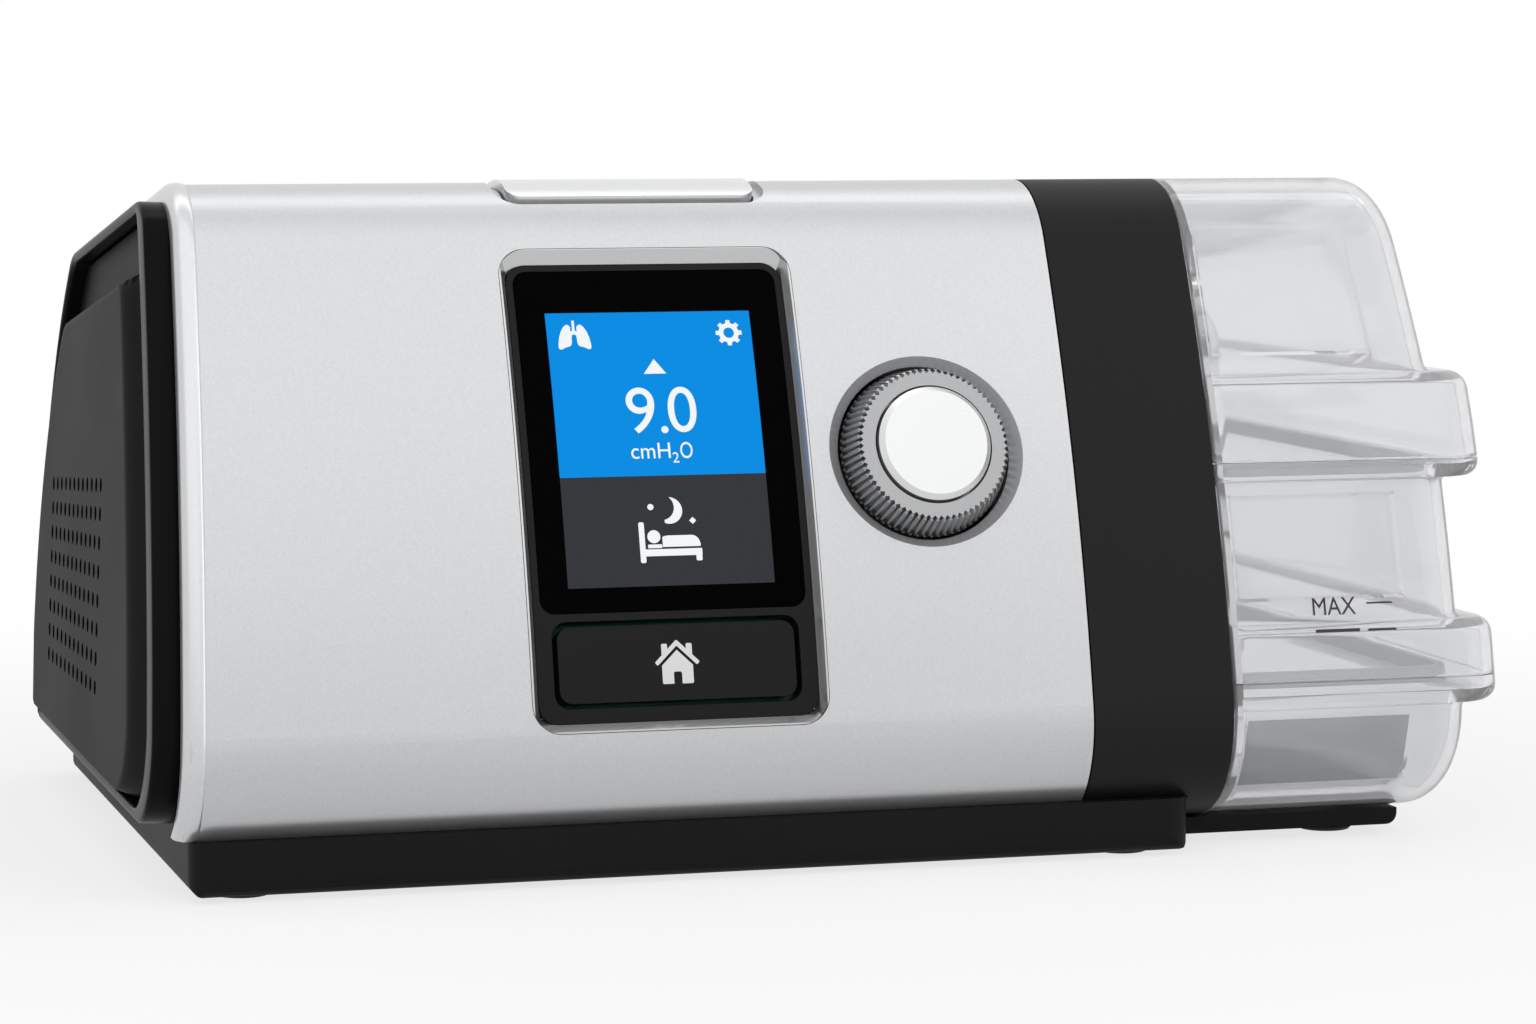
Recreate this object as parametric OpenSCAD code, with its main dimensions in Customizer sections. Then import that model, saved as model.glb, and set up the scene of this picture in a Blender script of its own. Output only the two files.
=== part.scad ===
// Bilevel breathing machine with a clear water tub at its right end.
// Each piece is drawn in a working frame whose zero is the front left corner
// of the base, X to the right, Y to the back and Z up. The floor is floor_drop
// below that zero.
// place() then moves it so that the origin is the centre of the underside.

/* [Side profile] */
// Top of the silver shell
body_h = 105; // [100:0.5:110]
// Radius of the bowed front face
front_r = 300; // [220:10:500]
// Lean of the front face at mid height
front_lean = 17.9; // [15:0.1:20]
// Depth of the front face from the front of the base at mid height
front_y = 6.4; // [4:0.1:9]
// Radius of the roundover from front to roof
nose_r = 16; // [12:0.5:20]
// Radius of the roundover from front to belly
low_r = 17; // [16:0.5:18]
// Length of the straight part of the roof
roof_len = 68; // [60:1:80]
// Lowest point of the body
belly_z = 3.2; // [3:0.1:3.6]

/* [Housing] */
// Right end of the silver shell from the left end of the base
shell_w = 141.6; // [136:0.2:150]
// Width of the black band between shell and tub
band_w = 23.3; // [22:0.1:26]
// Wall thickness of the housing
wall = 2.2; // [1.8:0.1:2.6]
// Thickness of the right end wall of the band
end_wall = 2.6; // [2:0.1:3.2]
// Inward lean of the left side
side_draft = 2.5; // [1.5:0.1:3.5]
// Depth at which the shell meets the rear housing on the roof
seam_y = 78; // [70:1:88]

/* [Base] */
// Width of the base plinth under the body
base_w = 159.5; // [156:0.5:162]
// Top of the base plinth
base_top = 7.9; // [7.4:0.1:8.6]
// Height of the rubber feet
foot_h = 0.8; // [0.6:0.1:1]
// Distance from the floor up to the zero of the working frame
floor_drop = 1.4; // [1.2:0.1:1.6]
// Diameter of the rubber feet
foot_d = 9; // [8:0.5:12]

/* [Left side] */
// Distance that the rim stands out from the shell
rim_t = 4.9; // [4:0.1:6]
// Distance that the filter cover stands out from the shell
cover_t = 5.9; // [5.2:0.1:7]
// Diameter of an air hole
vent_d = 2.4; // [1.6:0.1:3]
// Number of rows of air holes
vent_rows = 8; // [4:1:8]
// Number of air holes in a row
vent_cols = 12; // [6:1:12]

/* [Screen] */
// Width of the silver trim round the screen
trim_w = 46.8; // [44:0.2:50]
// Height of the silver trim round the screen
trim_h = 76.3; // [74:0.1:78]
// Sideways place of the screen
screen_x = 75.2; // [65:0.2:80]
// Width of the lit display
lcd_w = 32.8; // [28:0.2:34]
// Height of the lit display
lcd_h = 44; // [38:0.5:46]
// Width of the home button
home_w = 37.5; // [34:0.5:38.5]
// Height of the home button
home_h = 11.7; // [9:0.1:12.5]
// Travel of the home button
home_travel = 0.6; // [0.3:0.1:0.8]

/* [Dial] */
// Sideways place of the dial
dial_x = 117.6; // [112:0.2:121]
// Radius of the dished recess round the dial
dish_r = 16; // [15:0.1:18]
// Radius of the knurled ring at its foot
ring_r = 13.5; // [12:0.1:14.5]
// Radius of the knurled ring at its top
ring_top_r = 11.9; // [11:0.1:12.5]
// Height of the ring above the shell
ring_h = 3.85; // [3:0.05:6]
// Radius of the centre cap
cap_r = 9.1; // [7:0.1:9.6]
// Height of the centre cap above the shell
cap_h = 5.2; // [4.6:0.1:7]
// Number of teeth of the knurl
knurls = 72; // [36:6:90]
// Travel of the centre cap
cap_travel = 0.6; // [0.3:0.1:0.8]

/* [Start button] */
// Width of the recess round the start button
slot_w = 44; // [40:0.5:48]
// Width of the start button
start_w = 40.2; // [34:0.2:41]
// Travel of the start button
start_travel = 0.8; // [0.4:0.1:1]

/* [Water tub] */
// Width of the tub body
tub_w = 41.3; // [38:0.1:44]
// Distance that the two ledges stand out to the right
ledge_out = 6.5; // [4:0.1:9]
// Wall thickness of the tub
tub_wall = 1.8; // [1.4:0.1:2.2]
// Radius of the tub's outer corners
tub_r = 6.5; // [5:0.1:7]
// Height of the seam between lid and tub body
lid_z = 60.2; // [58.6:0.2:62]
// Height of the seam between tub body and tub foot
foot_z = 26; // [25:0.2:27]
// Inward lean of the lid's right side
lid_draft = 5; // [3:0.5:8]

/* [Air path] */
// Radius of the air outlet at the back
outlet_r = 11; // [10.5:0.1:11]
// Length of the air outlet
outlet_len = 20; // [16:0.5:22]
// Bore radius of the air ducts
duct_r = 7; // [6:0.1:7.5]
// Wall thickness of the air ducts
duct_wall = 1.2; // [1:0.1:1.5]

/* [Hidden] */

// Clearance between bodies that move past each other
gap = 0.3;
// Clearance between pieces that are fixed to each other
fit = 0.1;
// Radial clearance of a running fit
run_fit = 0.06;
// Length by which a cutting shape runs past a face
eps = 0.01;
// A length longer than the machine, for cutting shapes
huge = 400;

// Outward direction in the side view, in degrees up from straight ahead
function dir(a) = [-cos(a), sin(a)];
// Direction along the outline at the same angle
function along(a) = [sin(a), cos(a)];
// Points of a round stretch, without its first point
function arc(c, r, a0, a1, n) = [for (i = [1:n]) c + r * dir(a0 + (a1 - a0) * i / n)];

mid_z = 57;
front_c = [front_y + front_r * cos(front_lean), mid_z - front_r * sin(front_lean)];
low_a = asin((belly_z + low_r - front_c[1]) / (front_r - low_r));
low_c = front_c + (front_r - low_r) * dir(low_a);
top_a = asin((body_h - nose_r - front_c[1]) / (front_r - nose_r));
nose_c = front_c + (front_r - nose_r) * dir(top_a);
roof_a = 98.5;
shoulder_r = 14;
shoulder_c = nose_c + roof_len * along(roof_a) + (nose_r - shoulder_r) * dir(roof_a);
back_r = 84;
back_a = 131;
back_c = shoulder_c + (shoulder_r - back_r) * dir(back_a);
heel_r = 10;
heel_a = 180 - asin((belly_z + heel_r - back_c[1]) / (back_r - heel_r));
heel_c = back_c + (back_r - heel_r) * dir(heel_a);

// Side outline of the machine, drawn in by the distance d
function outline(d) = concat(
  [low_c + (low_r - d) * dir(-90)],
  arc(low_c, low_r - d, -90, low_a, 7),
  arc(front_c, front_r - d, low_a, top_a, 7),
  arc(nose_c, nose_r - d, top_a, roof_a, 7),
  arc(shoulder_c, shoulder_r - d, roof_a, back_a, 3),
  arc(back_c, back_r - d, back_a, heel_a, 6),
  arc(heel_c, heel_r - d, heel_a, 270, 5)
);

// The same outline with true arcs: a polygon through the joints of the arcs,
// and for each arc the slice of its disc that lies outside the polygon
arcs = [
  [low_c, low_r, -90, low_a],
  [front_c, front_r, low_a, top_a],
  [nose_c, nose_r, top_a, roof_a],
  [shoulder_c, shoulder_r, roof_a, back_a],
  [back_c, back_r, back_a, heel_a],
  [heel_c, heel_r, heel_a, 270]
];
// The slices reach this far into the polygon, so that they join it
lap = 1.5;
// A tight arc stands this far over its neighbours and runs this many degrees
// under them, so that two arcs cross at one clean point
nudge = 0.002;
overrun = 3;
function tight(a) = a[1] < 50 ? 1 : 0;

module side_shape(d) {
  polygon([for (a = arcs) for (k = [2, 3]) a[0] + (a[1] - d - nudge) * dir(a[k])]);
  for (a = arcs) intersection() {
    from = dir(a[2] - overrun * tight(a));
    to = dir(a[3] + overrun * tight(a));
    translate(a[0]) circle(r = a[1] - d + nudge * tight(a), $fn = a[1] > 100 ? 540 : 120);
    polygon([a[0] + (a[1] - d - lap) * from, a[0] + (2 * a[1] - d) * from,
             a[0] + (2 * a[1] - d) * to, a[0] + (a[1] - d - lap) * to]);
  }
}

// Depth of the back of the machine at the height z
function back_y(z) =
  z > back_c[1] + back_r * sin(back_a)
    ? shoulder_c[0] + sqrt(shoulder_r * shoulder_r - pow(z - shoulder_c[1], 2))
    : back_c[0] + sqrt(back_r * back_r - pow(z - back_c[1], 2));

side_x = -1.3;
rim_in = 2.6;
opening_in = 4.4;
crest_in = opening_in + 1;
front_min_y = low_c[0] - low_r;
back_max_y = heel_c[0] + heel_r;
band_x = shell_w + gap;
// The band reaches at least this far past the base
band_over = 2;
band_end = max(band_x + band_w, base_w + band_over);
tub_x = band_end + gap;
tub_end = tub_x + tub_w;
ledge_end = tub_end + ledge_out;
rim_lift = 2.8;
crest_low_z = belly_z + rim_lift + crest_in;
x_min = side_x - cover_t * cos(side_draft) + crest_low_z * sin(side_draft);
// The air ports stand between the lid's seam and the roof
port_drop = 6.6;
port_z = (lid_z + body_h) / 2 - port_drop;
boss_y = back_y(port_z - outlet_r - 1) + 0.4;
outlet_end = boss_y + outlet_len;
x_mid = (x_min + ledge_end) / 2;
y_mid = (front_min_y + outlet_end) / 2;

module place() { translate([-x_mid, -y_mid, floor_drop]) children(); }

// Draws a side view shape from x0 to x1
module along_x(x0, x1) {
  translate([x0, 0, 0]) rotate([90, 0, 90]) linear_extrude(x1 - x0) children();
}

module body_form(x0, x1, d) { along_x(x0, x1) side_shape(d); }

// Frame of the leaning left side, with local -X pointing out of it
module side_frame() { translate([side_x, 0, 0]) rotate([0, side_draft, 0]) children(); }

// Frame on the bowed front, s millimetres up it from mid height, local +Z outwards
function front_a(s) = front_lean + s / front_r * 180 / PI;
module on_front(x, s) {
  a = front_a(s);
  p = front_c + front_r * dir(a);
  translate([x, p[0], p[1]]) rotate([90 - a, 0, 0]) children();
}

// The part of a piece between two depths under the bowed front
module front_layer(w0, w1) {
  translate([screen_x, front_c[0], front_c[1]]) rotate([0, 90, 0]) difference() {
    cylinder(r = front_r + w1, h = huge, center = true, $fn = 720);
    cylinder(r = front_r + w0, h = huge + 2, center = true, $fn = 720);
  }
}

module rounded(w, h, r) {
  square([w - 2 * r, h], center = true);
  square([w, h - 2 * r], center = true);
  for (x = [-1, 1]) for (y = [-1, 1])
    translate([x * (w / 2 - r), y * (h / 2 - r)]) circle(r = r, $fn = 48);
}

// A rounded block that follows the bowed front between two depths
module front_block(x, s, w, h, r, w0, w1) {
  intersection() {
    on_front(x, s) translate([0, 0, -20]) linear_extrude(40) rounded(w, h, r);
    front_layer(w0, w1);
  }
}

module box(x0, x1, y0, y1, z0, z1) { translate([x0, y0, z0]) cube([x1 - x0, y1 - y0, z1 - z0]); }

module tube_x(x0, x1, r) { translate([x0, 0, 0]) rotate([0, 90, 0]) cylinder(r = r, h = x1 - x0, $fn = 64); }
module tube_y(y0, y1, r) { translate([0, y1, 0]) rotate([90, 0, 0]) cylinder(r = r, h = y1 - y0, $fn = 64); }

// Base

base_back = back_max_y - 4;
base_low = foot_h - floor_drop;
base_floor = 1.8;
base_r = 4;
base_edge = 2.4;
deck_t = 1.6;
tray_end = tub_end - 7.4;
tray_front = 11;
tray_back = 126;
tray_low = base_low + 0.8;
tray_top = belly_z - gap;
tray_edge = 1.8;
heater_t = 1.6;

foot_in = 9;
foot_places = [[foot_in, foot_in], [base_w - foot_in, foot_in],
               [foot_in, base_back - foot_in], [base_w - foot_in, base_back - foot_in],
               [tray_end - foot_in, tray_front + foot_in], [tray_end - foot_in, tray_back - foot_in]];
front_posts = [[22, 30], [132, 36]];
rear_posts = [[22, 122], [132, 122]];
post_places = concat(front_posts, rear_posts);
post_top = 12;
screw_head_r = 3;
screw_r = 1.4;
screw_bite = 8;

// Screw pillars that reach down from the case to the posts of the base
module pillars(places) {
  intersection() {
    for (p = places) translate([p[0], p[1], post_top + fit]) cylinder(r = 3.4, h = body_h, $fn = 32);
    body_form(0, shell_w, wall / 2);
  }
}

module pillar_holes(places) {
  for (p = places) translate([p[0], p[1], post_top - 1]) cylinder(r = screw_r + fit, h = screw_bite + 2, $fn = 32);
}

// A strip from a0 to a1 with its two lower corners rounded
function trough(a0, a1, z0, z1, r) = concat(
  [[a0, z1]],
  [for (i = [0:5]) [a0 + r - r * cos(18 * i), z0 + r - r * sin(18 * i)]],
  [for (i = [5:-1:0]) [a1 - r + r * cos(18 * i), z0 + r - r * sin(18 * i)]],
  [[a1, z1]]
);

module along_y(y0, y1) { translate([0, y1, 0]) rotate([90, 0, 0]) linear_extrude(y1 - y0) children(); }

module base_plinth() {
  color("#1b1b1c") difference() {
    union() {
      difference() {
        intersection() {
          translate([base_w / 2, base_back / 2, base_low]) linear_extrude(base_top - base_low)
            rounded(base_w, base_back, base_r);
          along_y(-1, huge) polygon(trough(0, base_w, base_low, base_top + 1, base_edge));
          along_x(-1, huge) polygon(trough(0, base_back, base_low, base_top + 1, base_edge));
        }
        translate([0, 0, base_low + base_floor]) linear_extrude(base_top)
          translate([base_w / 2, base_back / 2])
            rounded(base_w - 2 * wall, base_back - 2 * wall, base_r - wall / 2);
      }
      difference() {
        translate([0, 0, base_top - deck_t]) linear_extrude(deck_t)
          translate([base_w / 2, base_back / 2]) rounded(base_w - 2, base_back - 2, base_r - 1);
        box(8, base_w - 14, 13, base_back - 12, 0, base_top + 1);
      }
      difference() {
        intersection() {
          box(base_w - wall, tray_end, tray_front, tray_back, tray_low, tray_top);
          along_y(-1, huge) polygon(trough(0, tray_end, tray_low, tray_top + 1, tray_edge));
        }
        box(heater_x0 - fit, heater_x1 + fit, heater_y0 - fit, heater_y1 + fit,
            tray_top - heater_t, tray_top + 1);
      }
      for (p = foot_places) translate([p[0], p[1], base_low])
        cylinder(r = foot_d / 2 + 0.8, h = tray_low + 0.4 - base_low, $fn = 48);
      for (p = post_places) translate([p[0], p[1], base_low + 0.4])
        cylinder(r = 4, h = post_top - base_low - 0.4, $fn = 32);
      for (x = [board_x0 + 4, board_x1 - 4]) for (y = [board_y0 + 4, board_y1 - 4])
        translate([x, y, base_low + 0.4]) cylinder(r = 2.6, h = board_z - base_low - 0.4, $fn = 32);
    }
    for (p = foot_places) translate([p[0], p[1], base_low - eps])
      cylinder(r = foot_d / 2 - 2, h = 0.8, $fn = 48);
    for (p = post_places) translate([p[0], p[1], -floor_drop]) {
      cylinder(r = screw_head_r + 0.3, h = foot_h + 2, $fn = 32);
      cylinder(r = screw_r + fit, h = huge, $fn = 32);
    }
  }
}

module rubber_feet() {
  color("#262626") for (p = foot_places) translate([p[0], p[1], -floor_drop]) {
    cylinder(r1 = foot_d / 2 - 0.4, r2 = foot_d / 2, h = 0.4, $fn = 48);
    translate([0, 0, 0.4]) cylinder(r = foot_d / 2, h = foot_h - 0.4, $fn = 48);
    translate([0, 0, foot_h]) cylinder(r = foot_d / 2 - 2.05, h = 0.75, $fn = 48);
  }
}

module case_screws() {
  color("#8d9094") for (p = post_places) translate([p[0], p[1], base_low + 0.3]) {
    difference() {
      cylinder(r = screw_head_r, h = 1.6, $fn = 32);
      translate([0, 0, -eps]) cylinder(r = 1.1, h = 0.8, $fn = 6);
    }
    cylinder(r = screw_r, h = post_top - base_low + screw_bite - 1, $fn = 32);
  }
}

// Silver front shell

// Run along the front from mid height up to the angle a
function front_run(a) = (a - front_lean) / 180 * PI * front_r;
front_mid = (front_run(low_a) + front_run(top_a)) / 2;
trim_drop = 1.032;
trim_s = front_mid - trim_drop;
trim_r = 4.4;
trim_gap = 0.1;
dial_lift = 4.05;
dial_s = trim_s + dial_lift;
dish_depth = 1.6;
dish_floor_r = ring_r + 0.55;
boss_r = dish_r + 2;
slot_a = 74;
slot_h = 19.4;
slot_back = 4;
slot_r = 4;
slot_depth = 1.1;
start_h = 16.2;
start_shift = -0.3;
start_r = 2.4;
start_gap = 0.35;
post_r = 1.6;
post_x = trim_w / 2 + 2.6;
post_s = trim_h / 2 - 1.15;
start_post_x = slot_w / 2 + 2.6;
start_board_w = -9;

// Frame over the front roundover for the start button, local +Z along its travel
module on_nose() {
  p = nose_c + slot_back * along(slot_a) + nose_r * dir(slot_a);
  translate([screen_x, p[0], p[1]]) rotate([90 - slot_a, 0, 0]) children();
}

// The part of a piece between two depths under the outer skin
module skin_layer(w0, w1) {
  difference() {
    body_form(-20, shell_w, -w1);
    body_form(-21, shell_w + 1, -w0);
  }
}

module slot_block(w, h, r, w0, w1) {
  intersection() {
    on_nose() translate([0, 0, -12]) linear_extrude(24) rounded(w, h, r);
    skin_layer(w0, w1);
  }
}

// Posts that carry the three boards behind the front
module inner_posts() {
  for (a = [45, 225]) on_front(dial_x, dial_s) rotate([0, 0, a])
    translate([boss_r - 1.5, 0, board_w]) cylinder(r = post_r, h = -board_w, $fn = 24);
  for (x = [-1, 1]) for (y = [-1, 1]) on_front(screen_x, trim_s)
    translate([x * post_x, y * post_s, lcd_board_w]) cylinder(r = post_r, h = -lcd_board_w, $fn = 24);
  for (x = [-1, 1]) on_nose()
    translate([x * start_post_x, 0, start_board_w]) cylinder(r = post_r, h = -start_board_w, $fn = 24);
}

// What the base takes from the case: all below its top
module below_base() { box(-20, base_w + 0.05, -20, huge, -1, base_top); }

module front_shell() {
  color("#c9cbcd") difference() {
    union() {
      intersection() {
        difference() {
          body_form(side_x - 1, shell_w, 0);
          body_form(side_x - 2, shell_w + 1, wall);
        }
        side_frame() box(0, huge, -50, huge, -50, huge);
        box(-50, huge, -50, seam_y, 0, huge);
      }
      intersection() {
        on_front(dial_x, dial_s) translate([0, 0, -5]) cylinder(r = boss_r, h = 10, $fn = 96);
        front_layer(-5, -0.5);
        box(0, shell_w, -huge, huge, 0, huge);
      }
      intersection() {
        inner_posts();
        body_form(0, shell_w, wall / 2);
      }
      pillars(front_posts);
    }
    below_base();
    pillar_holes(front_posts);
    on_front(screen_x, trim_s) translate([0, 0, -20]) linear_extrude(40)
      rounded(trim_w + 2 * trim_gap, trim_h + 2 * trim_gap, trim_r + trim_gap);
    on_front(dial_x, dial_s) {
      translate([0, 0, -dish_depth]) cylinder(r1 = dish_floor_r, r2 = dish_r, h = dish_depth + 0.1, $fn = 96);
      translate([0, 0, 0.1 - eps]) cylinder(r = dish_r, h = 2, $fn = 96);
      translate([0, 0, -6]) cylinder(r = dish_floor_r, h = 10, $fn = 96);
    }
    slot_block(slot_w, slot_h, slot_r, -slot_depth, 4);
    on_nose() translate([0, start_shift, -12]) linear_extrude(24)
      rounded(start_w + 2 * start_gap, start_h + 2 * start_gap, start_r + start_gap);
  }
}

// Black rear housing

lip = 1.4;
module rear_housing() {
  color("#1d1d1e") difference() {
    union() {
      intersection() {
        difference() {
          body_form(side_x - 1, shell_w, 0);
          body_form(side_x - 2, shell_w + 1, wall);
        }
        side_frame() box(0, huge, -50, huge, -50, huge);
        box(-50, huge, seam_y + 0.2, huge, 0, huge);
      }
      intersection() {
        difference() {
          body_form(6, shell_w - 2, wall + 0.15);
          body_form(5, shell_w, wall + lip);
        }
        box(-50, huge, seam_y - 5, seam_y + 5, 50, huge);
      }
      intersection() {
        difference() {
          body_form(6, shell_w - 2, wall - 0.5);
          body_form(5, shell_w, wall + lip);
        }
        box(-50, huge, seam_y + 0.6, seam_y + 5, 50, huge);
      }
      pillars(rear_posts);
    }
    below_base();
    pillar_holes(rear_posts);
    translate([socket_x, 0, socket_z]) tube_y(back_max_y - 12, back_max_y + 5, socket_r + fit);
  }
}

// Left side

rim_shift = 2.7;
opening_shift = 7.5;

// Outline of the rim, set back from the front and lifted clear of the base
module rim_outline(d) {
  intersection() {
    polygon(outline(d));
    translate([rim_shift, rim_lift]) polygon(outline(d));
  }
}

// Opening of the rim, wider at the front than at the back
module opening_outline(d) {
  intersection() {
    polygon(outline(d));
    translate([opening_shift, rim_lift]) polygon(outline(d));
  }
}

module side_plate() {
  color("#161616") side_frame() difference() {
    intersection() {
      along_x(0, 3) polygon(outline(wall + fit));
      box(-1, 5, -20, huge, base_top + 1, huge);
    }
    box(-1, 5, filter_y0 - fit, filter_y1 + fit, filter_z0 - fit, filter_z1 + fit);
  }
}

module side_rim() {
  color("#1f1f20") side_frame() difference() {
    hull() {
      along_x(-rim_t + 1.4, 0) rim_outline(rim_in);
      along_x(-rim_t, -rim_t + 1) rim_outline(rim_in + 1.2);
    }
    along_x(-rim_t - 1, 1) opening_outline(opening_in);
  }
}

cover_fit = 0.35;
plate_t = 2.2;
crest_front = 19.9;
crest_top = 9.5;

// Outline of the raised middle of the filter cover
module crest_outline(front, top, d) {
  intersection() {
    polygon(outline(d));
    translate([front, rim_lift]) polygon(outline(d));
    translate([0, -top]) polygon(outline(d));
  }
}

vent_y = 58;
vent_z = 24;
vent_pitch = 5.2;
vent_gap_front = 4.65;
vent_gap_back = 4.2;

module vents(depth) {
  run = vent_pitch * (vent_cols - 1);
  for (k = [0:vent_rows - 1]) for (i = [0:vent_cols - 1]) {
    front_z = vent_z + vent_gap_front * k;
    back_z = vent_z - 1.4 + vent_gap_back * k;
    z = front_z + (back_z - front_z) * i / (vent_cols - 1);
    translate([0, vent_y + i * vent_pitch, z]) tube_x(-depth, 1, vent_d / 2);
  }
}

module filter_cover() {
  color("#242425") side_frame() difference() {
    union() {
      along_x(-plate_t, -0.6) opening_outline(opening_in + cover_fit);
      hull() {
        along_x(-plate_t, -plate_t + 0.4)
          crest_outline(opening_shift + 1.5, crest_top - 1.5, opening_in + 0.6);
        along_x(-cover_t, -cover_t + 0.4) crest_outline(crest_front, crest_top, crest_in);
      }
    }
    along_x(-cover_t + 1.6, 1) crest_outline(crest_front + 1, crest_top + 1.5, opening_in + 3);
    vents(10);
  }
}

filter_y0 = 54;
filter_y1 = 120;
filter_z0 = 18;
filter_z1 = body_h - 41;
module air_filter() {
  color("#d9dad6") side_frame()
    box(-0.4, 6, filter_y0, filter_y1, filter_z0, filter_z1);
}

foam_end = 18.5;
module muffler_foam() {
  color("#4a4a4c") difference() {
    box(9.5, foam_end, filter_y0, 112, base_low + base_floor, 72);
    translate([0, blower_y, 40]) tube_x(8, foam_end + 1, 10);
  }
}

// Black band with the air ports

port_a_y = 58;
port_b_y = 92;
seal_r = duct_r + duct_wall;
// The outlet stands in the middle of the band, or as far left as the seals ask
seal_reach = 0.6;
seal_gap = 0.25;
outlet_x = min((band_x + band_end) / 2, band_end - end_wall - seal_reach - seal_gap - seal_r);
outlet_neck_r = outlet_r - 1.6;
boss_wall = 0.6;

module humidifier_band() {
  color("#1a1a1b") difference() {
    union() {
      difference() {
        body_form(band_x, band_end, 0);
        body_form(band_x - 1, band_end - end_wall, wall);
      }
      intersection() {
        translate([outlet_x, 0, port_z]) tube_y(back_y(port_z) - 8, boss_y, outlet_r + boss_wall);
        box(band_x, band_end, 0, huge, 0, huge);
      }
    }
    below_base();
    for (y = [port_a_y, port_b_y]) translate([0, y, port_z])
      tube_x(band_end - end_wall - 1, band_end + 1, seal_r + 1.5);
    translate([outlet_x, 0, port_z]) tube_y(back_y(port_z) - 20, boss_y + 1, outlet_neck_r + fit);
  }
}

module port_seals() {
  color("#3b3d40") for (y = [port_a_y, port_b_y]) translate([0, y, port_z]) difference() {
    tube_x(band_end - end_wall - seal_reach, band_end, seal_r + 1.4);
    tube_x(band_end - end_wall - 2, band_end + 1, duct_r);
  }
}

heater_x0 = tub_x + 7;
heater_x1 = tub_end - 7;
heater_y0 = 30;
heater_y1 = 108;
module heater_plate() {
  color("#b8babd") box(heater_x0, heater_x1, heater_y0, heater_y1, tray_top - heater_t, tray_top);
}

// Screen

bezel_w = trim_w - 2.3;
bezel_h = trim_h - 3.8;
bezel_r = 3.2;
bezel_s = trim_s - 0.35;
bezel_drop = 1.4;
trim_edge = 0.3;
glass_w = bezel_w - 2.5;
glass_edge = 1.1;
glass_gap = 1.5;
home_r = 2;
home_groove = 0.85;
home_edge = 2.1;
home_s = bezel_s - bezel_h / 2 + home_edge + home_groove + home_h / 2;
glass_low = home_s + home_h / 2 + home_groove + glass_gap;
glass_h = bezel_s + bezel_h / 2 - glass_edge - glass_low;
glass_r = 2.2;
glass_s = glass_low + glass_h / 2;
// Share of the free height of the glass that lies below the display
lcd_share = 0.351;
lcd_s = glass_low + lcd_share * (glass_h - lcd_h) + lcd_h / 2;
// The flat board lies behind the bowed back of the bezel
bezel_back = 6.2;
board_gap = 0.21;
lcd_board_w = -bezel_back - bezel_h * bezel_h / 8 / front_r - board_gap;
home_stem_w = -4.9;

// Point in side view, s along the front and w above it
function front_point(s, w) = front_c + (front_r + w) * dir(front_a(s));

// Channel that follows the bow, wider at the surface than at its floor
module trim_side_bevels() {
  slope = (trim_w / 2 - trim_edge - bezel_w / 2) / bezel_drop;
  low = bezel_w / 2 - slope;
  high = trim_w / 2 - trim_edge + 2 * slope;
  translate([screen_x, front_c[0], front_c[1]]) rotate([0, 90, 0]) rotate_extrude($fn = 540)
    polygon([[front_r - bezel_drop - 1, -low], [front_r - bezel_drop - 1, low],
             [front_r + 2, high], [front_r + 2, -high]]);
}

module trim_end_bevels() {
  low_out = trim_s - trim_h / 2 + trim_edge;
  low_in = bezel_s - bezel_h / 2;
  high_in = bezel_s + bezel_h / 2;
  high_out = trim_s + trim_h / 2 - trim_edge;
  low_slope = (low_out - low_in) / bezel_drop;
  high_slope = (high_out - high_in) / bezel_drop;
  along_x(screen_x - trim_w / 2 - 1, screen_x + trim_w / 2 + 1)
    polygon([front_point(low_out + 6 * low_slope, 6), front_point(low_in - 4 * low_slope, -bezel_drop - 4),
             front_point(high_in - 4 * high_slope, -bezel_drop - 4), front_point(high_out + 6 * high_slope, 6)]);
}

module screen_trim() {
  color("#d3d5d7") difference() {
    front_block(screen_x, trim_s, trim_w, trim_h, trim_r, -4.6, 0);
    intersection() {
      trim_side_bevels();
      trim_end_bevels();
    }
    on_front(screen_x, bezel_s) translate([0, 0, -20]) linear_extrude(20)
      rounded(bezel_w, bezel_h, bezel_r);
  }
}

module display_bezel() {
  color("#19191a") difference() {
    front_block(screen_x, bezel_s, bezel_w - 2 * fit, bezel_h - 2 * fit, bezel_r - fit, -bezel_back, -bezel_drop);
    front_block(screen_x, glass_s, glass_w + 2 * fit, glass_h + 2 * fit, glass_r + fit, -bezel_drop - 1.3, 2);
    front_block(screen_x, lcd_s, lcd_w + 3.4, lcd_h + 4.4, 1, -8, 2);
    front_block(screen_x, home_s, home_w + 2 * home_groove, home_h + 2 * home_groove, home_r + 0.4, -8, 2);
  }
}

module display_glass() {
  color("#050506") front_block(screen_x, glass_s, glass_w, glass_h, glass_r, -bezel_drop - 1.25, -bezel_drop - 0.05);
}

module lcd_panel() {
  color("#0a86e0") front_block(screen_x, lcd_s, lcd_w + 3, lcd_h + 4, 0.8, -bezel_back, -bezel_drop - 1.3);
}

module display_board() {
  color("#1f5a3a") on_front(screen_x, trim_s) difference() {
    translate([-post_x - 2, -post_s - 3, lcd_board_w - 1.6]) cube([2 * post_x + 4, 2 * post_s + 6, 1.6]);
    for (x = [-1, 1]) for (y = [-1, 1]) translate([x * post_x, y * post_s, lcd_board_w - 2])
      cylinder(r = 1.1, h = 3, $fn = 24);
  }
}

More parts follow.
